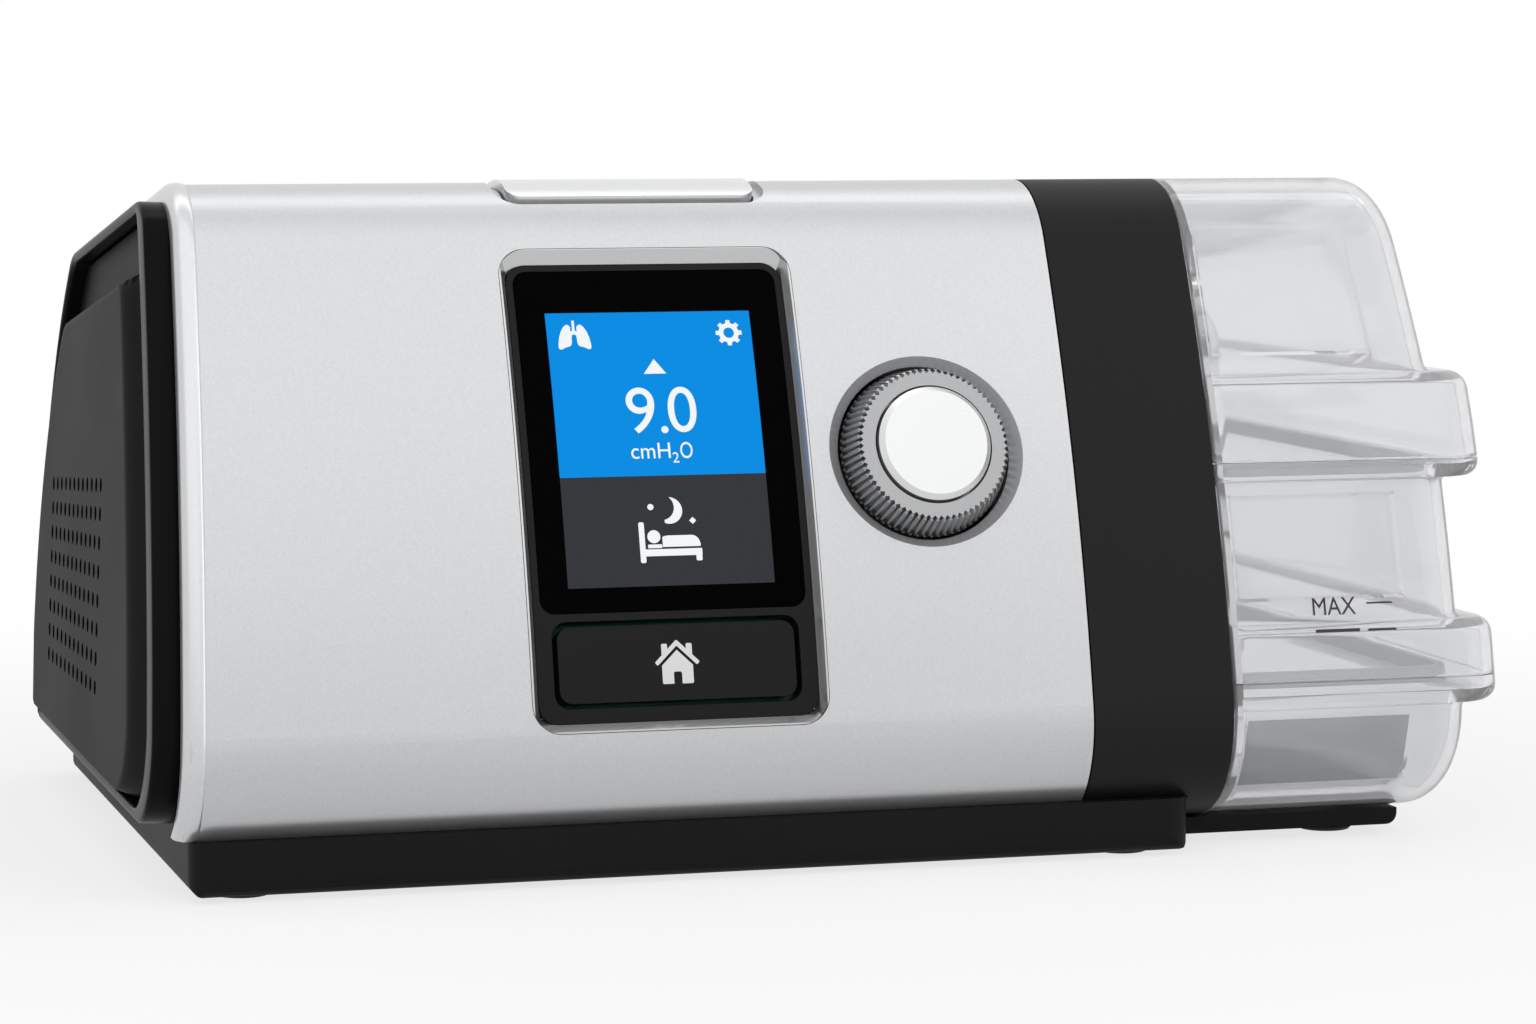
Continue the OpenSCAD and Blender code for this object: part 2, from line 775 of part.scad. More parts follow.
module home_button() {
  color("#1c1c1d") {
    front_block(screen_x, home_s, home_w, home_h, home_r, -4.4, -bezel_drop);
    on_front(screen_x, home_s) translate([0, 0, home_stem_w]) cylinder(r = 2, h = 2, $fn = 32);
  }
}

module home_switch() {
  color("#333437") difference() {
    on_front(screen_x, home_s) translate([-3, -3, lcd_board_w])
      cube([6, 6, home_stem_w - home_travel - gap - lcd_board_w]);
    on_front(screen_x, trim_s) translate([-9, -60, lcd_board_w - 20]) cube([18, 60, 20]);
  }
}

// Dial

board_w = -11.6;
ring_foot_w = -3.6;
spindle_r = 6;
stem_r = 3.6;
ring_bore_r = cap_r + 0.4;
cap_floor_w = -0.4;
ring_web_top = cap_floor_w - cap_travel - gap;
stem_w = -8;

// One groove of the knurl, running down the cone of the ring
module knurl_groove() {
  rise = ring_h + 1.35;
  lean = atan((ring_r - ring_top_r) / rise);
  translate([ring_r, 0, -1.35]) rotate([0, -lean, 0]) rotate([0, 0, 45])
    translate([-0.3, -0.3, -0.6]) cube([0.6, 0.6, rise + 1.2]);
}

module dial_ring() {
  color("#c4c6c8") on_front(dial_x, dial_s) difference() {
    union() {
      translate([0, 0, ring_foot_w]) cylinder(r = ring_r, h = -1.35 - ring_foot_w, $fn = 96);
      translate([0, 0, -1.35]) cylinder(r1 = ring_r, r2 = ring_top_r + 0.35, h = ring_h + 1, $fn = 96);
      translate([0, 0, ring_h - 0.35]) cylinder(r1 = ring_top_r + 0.35, r2 = ring_top_r, h = 0.35, $fn = 96);
    }
    translate([0, 0, ring_web_top]) cylinder(r = ring_bore_r, h = 10, $fn = 96);
    translate([0, 0, ring_foot_w - 1]) cylinder(r = spindle_r + run_fit, h = 10, $fn = 64);
    for (i = [0:knurls - 1]) rotate([0, 0, i * 360 / knurls]) knurl_groove();
  }
}

module dial_cap() {
  color("#d6d8da") on_front(dial_x, dial_s) {
    translate([0, 0, cap_floor_w]) cylinder(r = cap_r, h = cap_h - 0.8 - cap_floor_w, $fn = 96);
    translate([0, 0, cap_h - 0.8]) cylinder(r1 = cap_r, r2 = cap_r - 0.8, h = 0.8, $fn = 96);
    translate([0, 0, stem_w]) cylinder(r = stem_r, h = cap_floor_w - stem_w, $fn = 48);
  }
}

module encoder_base() {
  color("#2c2d30") on_front(dial_x, dial_s) difference() {
    union() {
      translate([-9, -9, board_w]) cube([18, 18, 4.6]);
      translate([0, 0, board_w + 4]) cylinder(r = spindle_r, h = ring_web_top - board_w - 4.1, $fn = 64);
      translate([0, 0, board_w + 4]) cylinder(r = spindle_r + 2, h = ring_foot_w - gap - board_w - 4, $fn = 64);
    }
    translate([0, 0, board_w - 1]) cylinder(r = stem_r + run_fit, h = 20, $fn = 48);
  }
}

module dial_switch() {
  color("#3a3b3e") on_front(dial_x, dial_s) translate([0, 0, board_w])
    cylinder(r = stem_r - 0.4, h = stem_w - cap_travel - gap - board_w, $fn = 32);
}

module dial_board() {
  color("#1f5a3a") on_front(dial_x, dial_s) rotate([0, 0, 45])
    translate([-19, -6, board_w - 1.6]) cube([38, 12, 1.6]);
}

// Start button

start_proud = 0.45;
start_stem = 6;
module start_button() {
  color("#cfd1d3") {
    intersection() {
      on_nose() translate([0, start_shift, -12]) linear_extrude(24)
        rounded(start_w, start_h, start_r);
      skin_layer(-wall, start_proud);
    }
    on_nose() translate([-12, start_shift - 1, -start_stem]) cube([24, 2, start_stem - 1.6]);
  }
}

module start_switch() {
  color("#333437") on_nose() translate([-3, start_shift - 3, start_board_w])
    cube([6, 6, -start_board_w - start_stem - start_travel - gap]);
}

module start_board() {
  color("#1f5a3a") on_nose() translate([-start_post_x - 2.5, -7, start_board_w - 1.6])
    cube([2 * start_post_x + 5, 14, 1.6]);
}

// Main board and power inlet

board_x0 = 82;
board_x1 = 124;
board_y0 = 44;
board_y1 = 120;
board_z = 11;
module main_board() {
  color("#1f5a3a") {
    box(board_x0, board_x1, board_y0, board_y1, board_z, board_z + 1.6);
    box(board_x0 + 8, board_x0 + 20, board_y0 + 10, board_y0 + 22, board_z, board_z + 4);
    box(board_x0 + 26, board_x0 + 36, board_y0 + 40, board_y0 + 60, board_z, board_z + 8);
  }
}

socket_x = 112;
socket_z = 24;
socket_r = 5.4;
socket_bore = 3.4;
socket_back = back_y(socket_z) + 0.8;
flange_r = socket_r + 1.2;
flange_back = min(back_y(socket_z + flange_r), back_y(socket_z - flange_r)) - wall - 0.5;
module power_socket() {
  color("#101011") translate([socket_x, 0, socket_z]) difference() {
    union() {
      tube_y(socket_back - 12.8, socket_back, socket_r);
      tube_y(socket_back - 14.8, flange_back, flange_r);
    }
    tube_y(socket_back - 9.8, socket_back + 1, socket_bore);
  }
}

// Blower

blower_x = 52;
blower_y = 76;
volute_z0 = 24;
volute_z1 = 34;
volute_z2 = 44;
volute_wall = 1.8;
wheel_r = 21;
wheel_z = volute_z0 + volute_wall + 0.8;
shaft_r = 1.5;
motor_r = 14;
motor_z0 = base_top + 4;

blower_mouth = 34;
scroll_r = 25;
scroll_grow = 7;
mouth_w = 16;
mouth_y = scroll_r + scroll_grow - mouth_w / 2;

// Spiral outline of the blower, with its outlet to the right at the back
function volute(extra) = [for (a = [0:10:360])
  (scroll_r + scroll_grow * a / 360 + extra) * [sin(a), cos(a)]];

module volute_shape(extra) {
  polygon(volute(extra));
  translate([0, mouth_y - mouth_w / 2 - extra]) square([blower_mouth, mouth_w + 2 * extra]);
}

module mouth_end() { translate([blower_mouth - volute_wall, 0]) square([10, 40]); }

module blower_base() {
  color("#3d4043") translate([blower_x, blower_y, 0]) difference() {
    translate([0, 0, volute_z0]) linear_extrude(volute_z1 - volute_z0) volute_shape(volute_wall);
    translate([0, 0, volute_z0 + volute_wall]) linear_extrude(volute_z1) difference() {
      volute_shape(0);
      mouth_end();
    }
    translate([0, 0, volute_z0 - 1]) cylinder(r = 4, h = 10, $fn = 48);
    translate([blower_mouth - 6, mouth_y, volute_z1]) tube_x(-1, 10, duct_r);
  }
}

module blower_cap() {
  color("#45484b") translate([blower_x, blower_y, 0]) difference() {
    union() {
      translate([0, 0, volute_z1]) linear_extrude(volute_z2 - volute_z1) volute_shape(volute_wall);
      translate([0, 0, volute_z2 - 0.1]) cylinder(r = 14, h = 5, $fn = 64);
    }
    translate([0, 0, volute_z1 - 1]) linear_extrude(volute_z2 - volute_z1 + 1 - volute_wall) difference() {
      volute_shape(0);
      mouth_end();
    }
    translate([0, 0, volute_z1]) cylinder(r = 12, h = 30, $fn = 64);
    translate([blower_mouth - 6, mouth_y, volute_z1]) tube_x(-1, 10, duct_r);
  }
}

module blower_motor() {
  color("#8f9296") translate([blower_x, blower_y, 0]) difference() {
    union() {
      translate([0, 0, motor_z0]) cylinder(r = motor_r, h = volute_z0 - motor_z0, $fn = 64);
      translate([0, 0, volute_z0 - 0.1]) cylinder(r = 3.9, h = volute_wall + 0.2, $fn = 48);
    }
    translate([0, 0, motor_z0 + 1.5]) cylinder(r = shaft_r + run_fit, h = 40, $fn = 48);
  }
}

blades = 11;
blade_h = 10;
blade_t = 0.9;
hub_r = 6;
disc_t = 1.2;

// One blade, an arc that trails backwards from the hub to the rim
module blade() {
  intersection() {
    translate([-5, -16.7, wheel_z + disc_t / 2]) difference() {
      cylinder(r = 20, h = blade_h, $fn = 96);
      translate([0, 0, -1]) cylinder(r = 20 - blade_t, h = blade_h + 2, $fn = 96);
    }
    translate([0, 0, wheel_z]) difference() {
      cylinder(r = wheel_r - 0.4, h = blade_h + disc_t, $fn = 96);
      translate([0, 0, -1]) cylinder(r = hub_r - 1.2, h = blade_h + disc_t + 2, $fn = 64);
    }
    translate([3, -wheel_r, wheel_z]) cube([wheel_r, wheel_r + 3, blade_h + disc_t]);
  }
}

module impeller() {
  color("#dfe1e3") translate([blower_x, blower_y, 0]) {
    translate([0, 0, motor_z0 + 2]) cylinder(r = shaft_r, h = wheel_z - motor_z0, $fn = 48);
    translate([0, 0, wheel_z]) cylinder(r = wheel_r, h = disc_t, $fn = 96);
    translate([0, 0, wheel_z + disc_t - 0.1]) cylinder(r1 = hub_r, r2 = 2.5, h = 8, $fn = 64);
    for (i = [0:blades - 1]) rotate([0, 0, i * 360 / blades]) blade();
  }
}

module blower_mounts() {
  color("#8a4a35") for (a = [60, 180, 300])
    translate([blower_x + 21 * cos(a), blower_y + 21 * sin(a), base_low + base_floor])
      cylinder(r = 3, h = volute_z0 - base_low - base_floor, $fn = 32);
}

// Air ducts

riser_x = 122;
riser_y = blower_y + mouth_y;
module duct_path(r) {
  translate([0, riser_y, volute_z1]) tube_x(blower_x + blower_mouth + 2 * fit, riser_x, r);
  translate([riser_x, riser_y, volute_z1]) sphere(r = r, $fn = 48);
  translate([riser_x, riser_y, volute_z1]) cylinder(r = r, h = port_z - volute_z1, $fn = 64);
  translate([riser_x, riser_y, port_z]) sphere(r = r, $fn = 48);
  translate([riser_x, 0, port_z]) tube_y(port_a_y, riser_y, r);
  translate([riser_x, port_a_y, port_z]) sphere(r = r, $fn = 48);
}

module flow_tube() {
  color("#55585c") difference() {
    union() {
      duct_path(duct_r + duct_wall);
      translate([0, port_a_y, port_z]) tube_x(riser_x, band_end - end_wall - 0.7, duct_r + duct_wall);
    }
    duct_path(duct_r);
    translate([0, riser_y, volute_z1]) tube_x(blower_x, riser_x, duct_r);
    translate([0, port_a_y, port_z]) tube_x(riser_x, band_end + 1, duct_r);
  }
}

duct_end = back_y(port_z) - 8;

// Ball in the corner of the outlet duct, with its poles across the corner
module outlet_elbow(r) {
  translate([outlet_x, port_b_y, port_z]) rotate([0, 90, 45]) sphere(r = r, $fn = 48);
}

module outlet_duct() {
  color("#55585c") difference() {
    union() {
      translate([0, port_b_y, port_z]) tube_x(outlet_x, band_end - end_wall - 0.7, duct_r + duct_wall);
      outlet_elbow(duct_r + duct_wall);
      translate([outlet_x, 0, port_z]) tube_y(port_b_y, duct_end, duct_r + duct_wall);
    }
    translate([0, port_b_y, port_z]) tube_x(outlet_x, band_end, duct_r);
    outlet_elbow(duct_r);
    translate([outlet_x, 0, port_z]) tube_y(port_b_y, duct_end + 1, duct_r);
  }
}

module outlet_port() {
  color("#2a2b2d") translate([outlet_x, 0, port_z]) difference() {
    union() {
      tube_y(boss_y + fit, outlet_end - 0.8, outlet_r);
      translate([0, outlet_end, 0]) rotate([90, 0, 0]) cylinder(r1 = outlet_r - 0.8, r2 = outlet_r, h = 0.8, $fn = 64);
      tube_y(duct_end + 0.3, boss_y + 1, outlet_neck_r);
    }
    tube_y(0, huge, duct_r);
  }
}

// Water tub

steps = 4;
lid_pivot_z = 70;

// The side outline as a ring of points in the plane at x, leaning inwards above the pivot
function ring(x, d, lean) = [for (p = outline(d)) [x - tan(lean) * (p[1] - lid_pivot_z), p[0], p[1]]];

// Closed solid through rings of equally many points
module loft(rings) {
  n = len(rings[0]);
  last = (len(rings) - 1) * n;
  polyhedron(
    points = [for (r = rings) each r],
    faces = concat(
      [[for (k = [n - 1:-1:0]) k]],
      [[for (k = [0:n - 1]) last + k]],
      [for (r = [0:len(rings) - 2]) for (k = [0:n - 1])
        [r * n + k, r * n + (k + 1) % n, (r + 1) * n + (k + 1) % n, (r + 1) * n + k]]
    ));
}

// Body with a rounded right end: the outline is drawn in along a quarter circle
module tub_form(x0, x1, r, d, lean) {
  loft(concat(
    [ring(x0, d, 0)],
    [for (i = [0:steps]) let (a = 90 * i / steps) ring(x1 - d - r + r * sin(a), d + r - r * cos(a), lean)]
  ));
}

module slab(z0, z1) { box(tub_x - 5, huge, -30, huge, z0, z1); }

ledge_r = 5;
ledge_edge = 2.4;
ledge_top = 73.9;
ledge_low = 57.3;
rail_top = 35;
rail_low = 21.8;
rail_in = 0.8;
ledge_proud = 0.3;
ledge_wall = tub_wall + ledge_proud + 0.2;

// One ledge, a thick rib round the right end with rounded outer edges
module ledge(z0, z1, x1, d) {
  intersection() {
    tub_form(tub_x + 4 + d, x1, ledge_r, d - ledge_proud, 0);
    translate([x1 - d - 50, huge / 2, (z0 + z1) / 2]) rotate([90, 0, 0]) linear_extrude(huge)
      rounded(100, z1 - z0 - 2 * d, ledge_edge);
  }
}

pin_r = 1.2;
knuckle_r = 2.2;
hinge_y = back_y(lid_z) + knuckle_r + 0.8;
hinge_z = lid_z;
arm_t = 1.6;

// A knuckle with its arm above or below the seam
module knuckle(x0, x1, up) {
  translate([0, hinge_y, hinge_z]) tube_x(x0, x1, knuckle_r);
  z = up ? hinge_z + gap / 2 : hinge_z - gap / 2 - arm_t;
  box(x0, x1, hinge_y - 6, hinge_y, z, z + arm_t);
}

hinge_ends = [tub_x + 6, tub_end - 12];
module tub_lid() {
  color("#dfe6ee", 0.45) difference() {
    union() {
      intersection() {
        tub_form(tub_x, tub_end, tub_r, 0, lid_draft);
        slab(lid_z + gap / 2, huge);
      }
      intersection() {
        ledge(ledge_low, ledge_top, ledge_end, 0);
        slab(lid_z + gap / 2, huge);
      }
      for (x = hinge_ends) knuckle(x + 2 + gap, x + 6, true);
    }
    tub_form(tub_x + tub_wall, tub_end, tub_r, tub_wall, lid_draft);
    ledge(ledge_low, ledge_top, ledge_end, ledge_wall);
    for (y = [port_a_y, port_b_y]) translate([0, y, port_z]) tube_x(tub_x - 1, tub_x + 5, duct_r);
    translate([0, hinge_y, hinge_z]) tube_x(tub_x, tub_end, pin_r + run_fit);
  }
}

module tub_body() {
  color("#dfe6ee", 0.45) difference() {
    union() {
      intersection() {
        union() {
          tub_form(tub_x, tub_end, tub_r, 0, 0);
          ledge(ledge_low, ledge_top, ledge_end, 0);
          ledge(rail_low, rail_top, ledge_end - rail_in, 0);
        }
        slab(foot_z + 0.1, lid_z - gap / 2);
      }
      for (x = hinge_ends) {
        knuckle(x, x + 2, false);
        knuckle(x + 6 + gap, x + 8, false);
      }
    }
    tub_form(tub_x + tub_wall, tub_end, tub_r, tub_wall, 0);
    ledge(ledge_low, ledge_top, ledge_end, ledge_wall);
    ledge(rail_low, rail_top, ledge_end - rail_in, ledge_wall);
    translate([0, hinge_y, hinge_z]) tube_x(tub_x, tub_end, pin_r);
  }
}

module tub_foot() {
  color("#dfe6ee", 0.45) difference() {
    intersection() {
      union() {
        tub_form(tub_x, tub_end, tub_r, 0, 0);
        ledge(rail_low, rail_top, ledge_end - rail_in, 0);
      }
      slab(0, foot_z - 0.1);
    }
    tub_form(tub_x + tub_wall, tub_end, tub_r, tub_wall, 0);
    ledge(rail_low, rail_top, ledge_end - rail_in, ledge_wall);
    box(heater_x0 + 1, heater_x1 - 1, heater_y0 + 1, heater_y1 - 1, 0, 12);
  }
}

seal_t = 1.7;
module seal_ring(z0, z1) {
  difference() {
    intersection() {
      tub_form(tub_x + tub_wall + fit, tub_end, tub_r, tub_wall + fit, 0);
      slab(z0, z1);
    }
    tub_form(tub_x + tub_wall + seal_t, tub_end, tub_r - seal_t, tub_wall + seal_t, 0);
  }
}

module tub_seal() { color("#5a5e64") seal_ring(lid_z - 2.4, lid_z - gap / 2); }
module foot_seal() { color("#5a5e64") seal_ring(foot_z - 1.2, foot_z + 1.2); }

module tub_heat_plate() {
  color("#c2c5c8") box(heater_x0 + 1.1, heater_x1 - 1.1, heater_y0 + 1.1, heater_y1 - 1.1, belly_z, belly_z + 1.9);
}

module lid_duct() {
  color("#e6ebf0", 0.6) difference() {
    union() {
      translate([0, port_a_y, port_z]) tube_x(tub_x + tub_wall, tub_x + 12, duct_r + duct_wall);
      translate([tub_x + 12, port_a_y, port_z]) sphere(r = duct_r + duct_wall, $fn = 48);
      translate([tub_x + 12, port_a_y, port_z - 14]) cylinder(r = duct_r + duct_wall, h = 14, $fn = 64);
    }
    translate([0, port_a_y, port_z]) tube_x(tub_x, tub_x + 12, duct_r);
    translate([tub_x + 12, port_a_y, port_z]) sphere(r = duct_r, $fn = 48);
    translate([tub_x + 12, port_a_y, port_z - 15]) cylinder(r = duct_r, h = 15, $fn = 64);
  }
}

module lid_hinge_pin() {
  color("#a9acb0") translate([0, hinge_y, hinge_z])
    for (x = hinge_ends) tube_x(x + 0.2, x + 7.8, pin_r);
}

place() base_plinth();
place() rubber_feet();
place() case_screws();
place() front_shell();
place() rear_housing();
place() side_plate();
place() side_rim();
place() filter_cover();
place() air_filter();
place() muffler_foam();
place() humidifier_band();
place() port_seals();
place() heater_plate();
place() screen_trim();
place() display_bezel();
place() display_glass();
place() lcd_panel();
place() display_board();
place() home_button();
place() home_switch();
place() dial_ring();
place() dial_cap();
place() encoder_base();
place() dial_switch();
place() dial_board();
place() start_button();
place() start_switch();
place() start_board();
place() main_board();
place() power_socket();
place() blower_base();
place() blower_cap();
place() blower_motor();
place() impeller();
place() blower_mounts();
place() flow_tube();
place() outlet_duct();
place() outlet_port();
place() tub_lid();
place() tub_seal();
place() tub_body();
place() foot_seal();
place() tub_foot();
place() tub_heat_plate();
place() lid_duct();
place() lid_hinge_pin();
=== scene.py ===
"""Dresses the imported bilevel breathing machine: its moulded finishes, the lit
screen with its signs, the printed marks, the clear water tub and the studio."""

import math

import bmesh
import bpy
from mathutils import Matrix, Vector


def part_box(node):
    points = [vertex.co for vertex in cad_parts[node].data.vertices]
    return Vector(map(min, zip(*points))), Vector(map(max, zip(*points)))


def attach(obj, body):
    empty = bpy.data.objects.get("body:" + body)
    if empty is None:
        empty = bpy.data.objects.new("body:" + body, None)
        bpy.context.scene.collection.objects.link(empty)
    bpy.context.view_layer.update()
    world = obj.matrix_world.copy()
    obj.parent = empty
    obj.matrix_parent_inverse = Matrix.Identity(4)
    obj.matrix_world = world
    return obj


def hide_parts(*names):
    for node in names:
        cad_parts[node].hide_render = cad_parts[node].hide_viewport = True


bl_info = {
    "name": "Bilevel Breathing Machine",
    "version": (1, 0, 0),
    "blender": (4, 5, 0),
    "location": "View3D > Sidebar > Breathing Machine",
    "description": "Finishes, screen, marks, water tub and studio of a bedside breathing machine",
    "category": "Object",
}

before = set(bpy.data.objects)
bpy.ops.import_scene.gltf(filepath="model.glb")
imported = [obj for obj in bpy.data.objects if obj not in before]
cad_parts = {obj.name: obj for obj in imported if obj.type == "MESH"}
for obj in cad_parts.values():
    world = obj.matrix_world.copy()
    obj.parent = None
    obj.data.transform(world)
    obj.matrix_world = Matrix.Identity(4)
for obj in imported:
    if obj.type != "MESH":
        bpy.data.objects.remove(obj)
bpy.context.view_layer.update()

MM = 0.001
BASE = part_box("base_plinth")[0]
FLOOR_DROP = 1.4

# The bowed front: an arc in side view, leaning back by FRONT_LEAN at MID_Z
FRONT_R = 300.0
FRONT_LEAN = math.radians(17.9)
MID_Z = 57.0
BOW_Y = 6.4 + FRONT_R * math.cos(FRONT_LEAN)
BOW_Z = MID_Z - FRONT_R * math.sin(FRONT_LEAN)


def at(x, y, z):
    """The point x, y, z millimetres from the front left corner of the base, z from FLOOR_DROP above the floor."""
    return Vector((BASE.x + x * MM, BASE.y + y * MM, (z + FLOOR_DROP) * MM))


def on_bow(x, s, w):
    """The point s millimetres up the bowed front from MID_Z and w above its surface."""
    a = FRONT_LEAN + s / FRONT_R
    r = FRONT_R + w
    return at(x, BOW_Y - r * math.cos(a), BOW_Z + r * math.sin(a))


def bow_s(z):
    """How far up the bowed front the height z is."""
    return FRONT_R * (math.asin((z - BOW_Z) / FRONT_R) - FRONT_LEAN)


# Sizes and colours that a user would change


def colour_prop(name, description, default):
    return bpy.props.FloatVectorProperty(
        name=name, description=description, subtype="COLOR", size=3, min=0, max=1, default=default
    )


def number_prop(name, description, default, **settings):
    return bpy.props.FloatProperty(name=name, description=description, default=default, **settings)


class HousingLook(bpy.types.PropertyGroup):
    silver: colour_prop("Silver", "Colour of the painted shell", (0.6, 0.605, 0.615))
    trim: colour_prop("Trim", "Colour of the trim round the screen", (0.55, 0.555, 0.56))
    button: colour_prop("Buttons", "Colour of the start button and the dial's cap", (0.74, 0.745, 0.75))
    ring: colour_prop("Ring", "Colour of the knurled ring", (0.36, 0.363, 0.368))
    black: colour_prop("Black", "Colour of the black mouldings", (0.0105, 0.0105, 0.011))
    rim_height: number_prop(
        "Rim height", "How far the rim of the left side stands out, in millimetres", 4.9, min=4, max=6
    )
    silver_roughness: number_prop("Silver roughness", "Roughness of the painted shell", 0.36, min=0, max=1)


class ScreenLook(bpy.types.PropertyGroup):
    upper: colour_prop("Upper field", "Colour of the upper part of the lit screen", (0.0006, 0.27, 0.79))
    lower: colour_prop("Lower field", "Colour of the lower part of the lit screen", (0.036, 0.039, 0.044))
    sign: colour_prop("Signs", "Colour of the signs on the screen", (0.93, 0.95, 0.97))
    split: number_prop(
        "Split", "Height of the line between the fields, up the front from mid height", 4.1 * MM, unit="LENGTH"
    )


class TubLook(bpy.types.PropertyGroup):
    tint: colour_prop("Tint", "Tint of the clear plastic", (0.965, 0.97, 0.985))
    # The foot window's darker tint is painted shade for the dark inside seen through it
    foot_window_shade: colour_prop("Foot window shade", "Tint of the window in the tub's foot", (0.36, 0.37, 0.39))
    roughness: number_prop("Roughness", "Roughness of the clear plastic", 0.05, min=0, max=1)
    clearness: number_prop("Clearness", "Share of the light that passes each wall undimmed", 0.8, min=0, max=1)


class StageLook(bpy.types.PropertyGroup):
    floor: colour_prop("Floor", "Colour of the floor", (0.92, 0.92, 0.92))
    ambient: number_prop("Ambient", "Strength of the light from all round", 0.53, min=0)
    key: number_prop("Key", "Power of the large lamp above the front", 3.35, min=0, unit="POWER")
    fill: number_prop("Fill", "Power of the lamp at the right", 1.5, min=0, unit="POWER")
    strip: number_prop("Strip", "Power of the long lamp overhead", 1.2, min=0, unit="POWER")
    lens: number_prop("Lens", "Focal length of the camera", 105.67, min=1, subtype="DISTANCE_CAMERA")


LOOKS = {"housing": HousingLook, "screen": ScreenLook, "tub": TubLook, "stage": StageLook}


def look(context, name):
    return getattr(context.scene, "breathing_" + name)


# Shader node groups and materials


def set_inputs(tree, node, inputs):
    """Sets inputs of a node, each to a value or by a link from a socket."""
    for label, value in dict(inputs).items():
        if isinstance(value, bpy.types.NodeSocket):
            tree.links.new(value, node.inputs[label])
        else:
            node.inputs[label].default_value = value


def add_node(tree, kind, inputs=(), **settings):
    """A new shader node of that kind, with its settings and some of its inputs."""
    node = tree.nodes.new("ShaderNode" + kind)
    for name, value in settings.items():
        setattr(node, name, value)
    set_inputs(tree, node, inputs)
    return node


def node_of(tree, kind):
    return next(node for node in tree.nodes if node.type == kind)


def make_group(name, inputs, outputs):
    """A shader node group with those float or vector sockets, and its two end nodes."""
    group = bpy.data.node_groups.new(name, "ShaderNodeTree")
    for label, kind, value in inputs:
        made = group.interface.new_socket(label, in_out="INPUT", socket_type=kind)
        if value is not None:
            made.default_value = value
    for label in outputs:
        group.interface.new_socket(label, in_out="OUTPUT", socket_type="NodeSocketFloat")
    return group, group.nodes.new("NodeGroupInput"), group.nodes.new("NodeGroupOutput")


def grain_group():
    """Fine moulded or painted grain, and a broad mottle of colour and gloss."""
    group, start, end = make_group(
        "Moulded grain",
        [
            ("Vector", "NodeSocketVector", None), ("Size", "NodeSocketFloat", 0.3),
            ("Mottle size", "NodeSocketFloat", 40.0),
        ],
        ["Height", "Speckle", "Mottle"],
    )

    def per_metre(socket):
        return add_node(group, "Math", {0: 1 / MM, 1: socket}, operation="DIVIDE").outputs[0]

    place, fine_scale = start.outputs["Vector"], per_metre(start.outputs["Size"])
    broad_scale = per_metre(start.outputs["Mottle size"])
    fine = add_node(group, "TexNoise", {"Vector": place, "Scale": fine_scale, "Detail": 2.5, "Roughness": 0.55})
    broad = add_node(group, "TexNoise", {"Vector": place, "Scale": broad_scale, "Detail": 2.0})
    cells = add_node(group, "TexVoronoi", {"Vector": place, "Scale": fine_scale})
    bright = add_node(group, "SeparateColor", {"Color": cells.outputs["Color"]})
    set_inputs(
        group, end, {"Height": fine.outputs["Fac"], "Speckle": bright.outputs["Red"], "Mottle": broad.outputs["Fac"]}
    )
    return group


def pixel_group():
    """The faint rows and columns of a lit display."""
    group, start, end = make_group(
        "Display pixels", [("Vector", "NodeSocketVector", None), ("Pitch", "NodeSocketFloat", 0.18)], ["Level"]
    )
    scale = add_node(group, "Math", {0: 0.05 / MM * math.pi, 1: start.outputs["Pitch"]}, operation="DIVIDE").outputs[0]
    columns, rows = (
        add_node(group, "TexWave", {"Vector": start.outputs["Vector"], "Scale": scale}, bands_direction=direction)
        for direction in ("X", "Z")
    )
    least = add_node(group, "Math", {0: columns.outputs["Fac"], 1: rows.outputs["Fac"]}, operation="MINIMUM")
    set_inputs(group, end, {"Level": least.outputs[0]})
    return group


GROUPS = {}


def shared(name, build):
    if name not in GROUPS:
        GROUPS[name] = build()
    return GROUPS[name]


def new_material(name):
    material = bpy.data.materials.new(name)
    material.use_nodes = True
    return material, material.node_tree, node_of(material.node_tree, "BSDF_PRINCIPLED")


def scaled(colour, factor):
    return tuple(min(1.0, c * factor) for c in colour[:3]) + (1.0,)


def blend_colours(tree, factor, low, high, mode="MIX"):
    """The socket of a mix from low to high; all three are values or sockets."""
    mix = add_node(tree, "Mix", data_type="RGBA", blend_type=mode)
    set_inputs(tree, mix, {"Factor": factor, "A": low, "B": high})
    return mix.outputs["Result"]


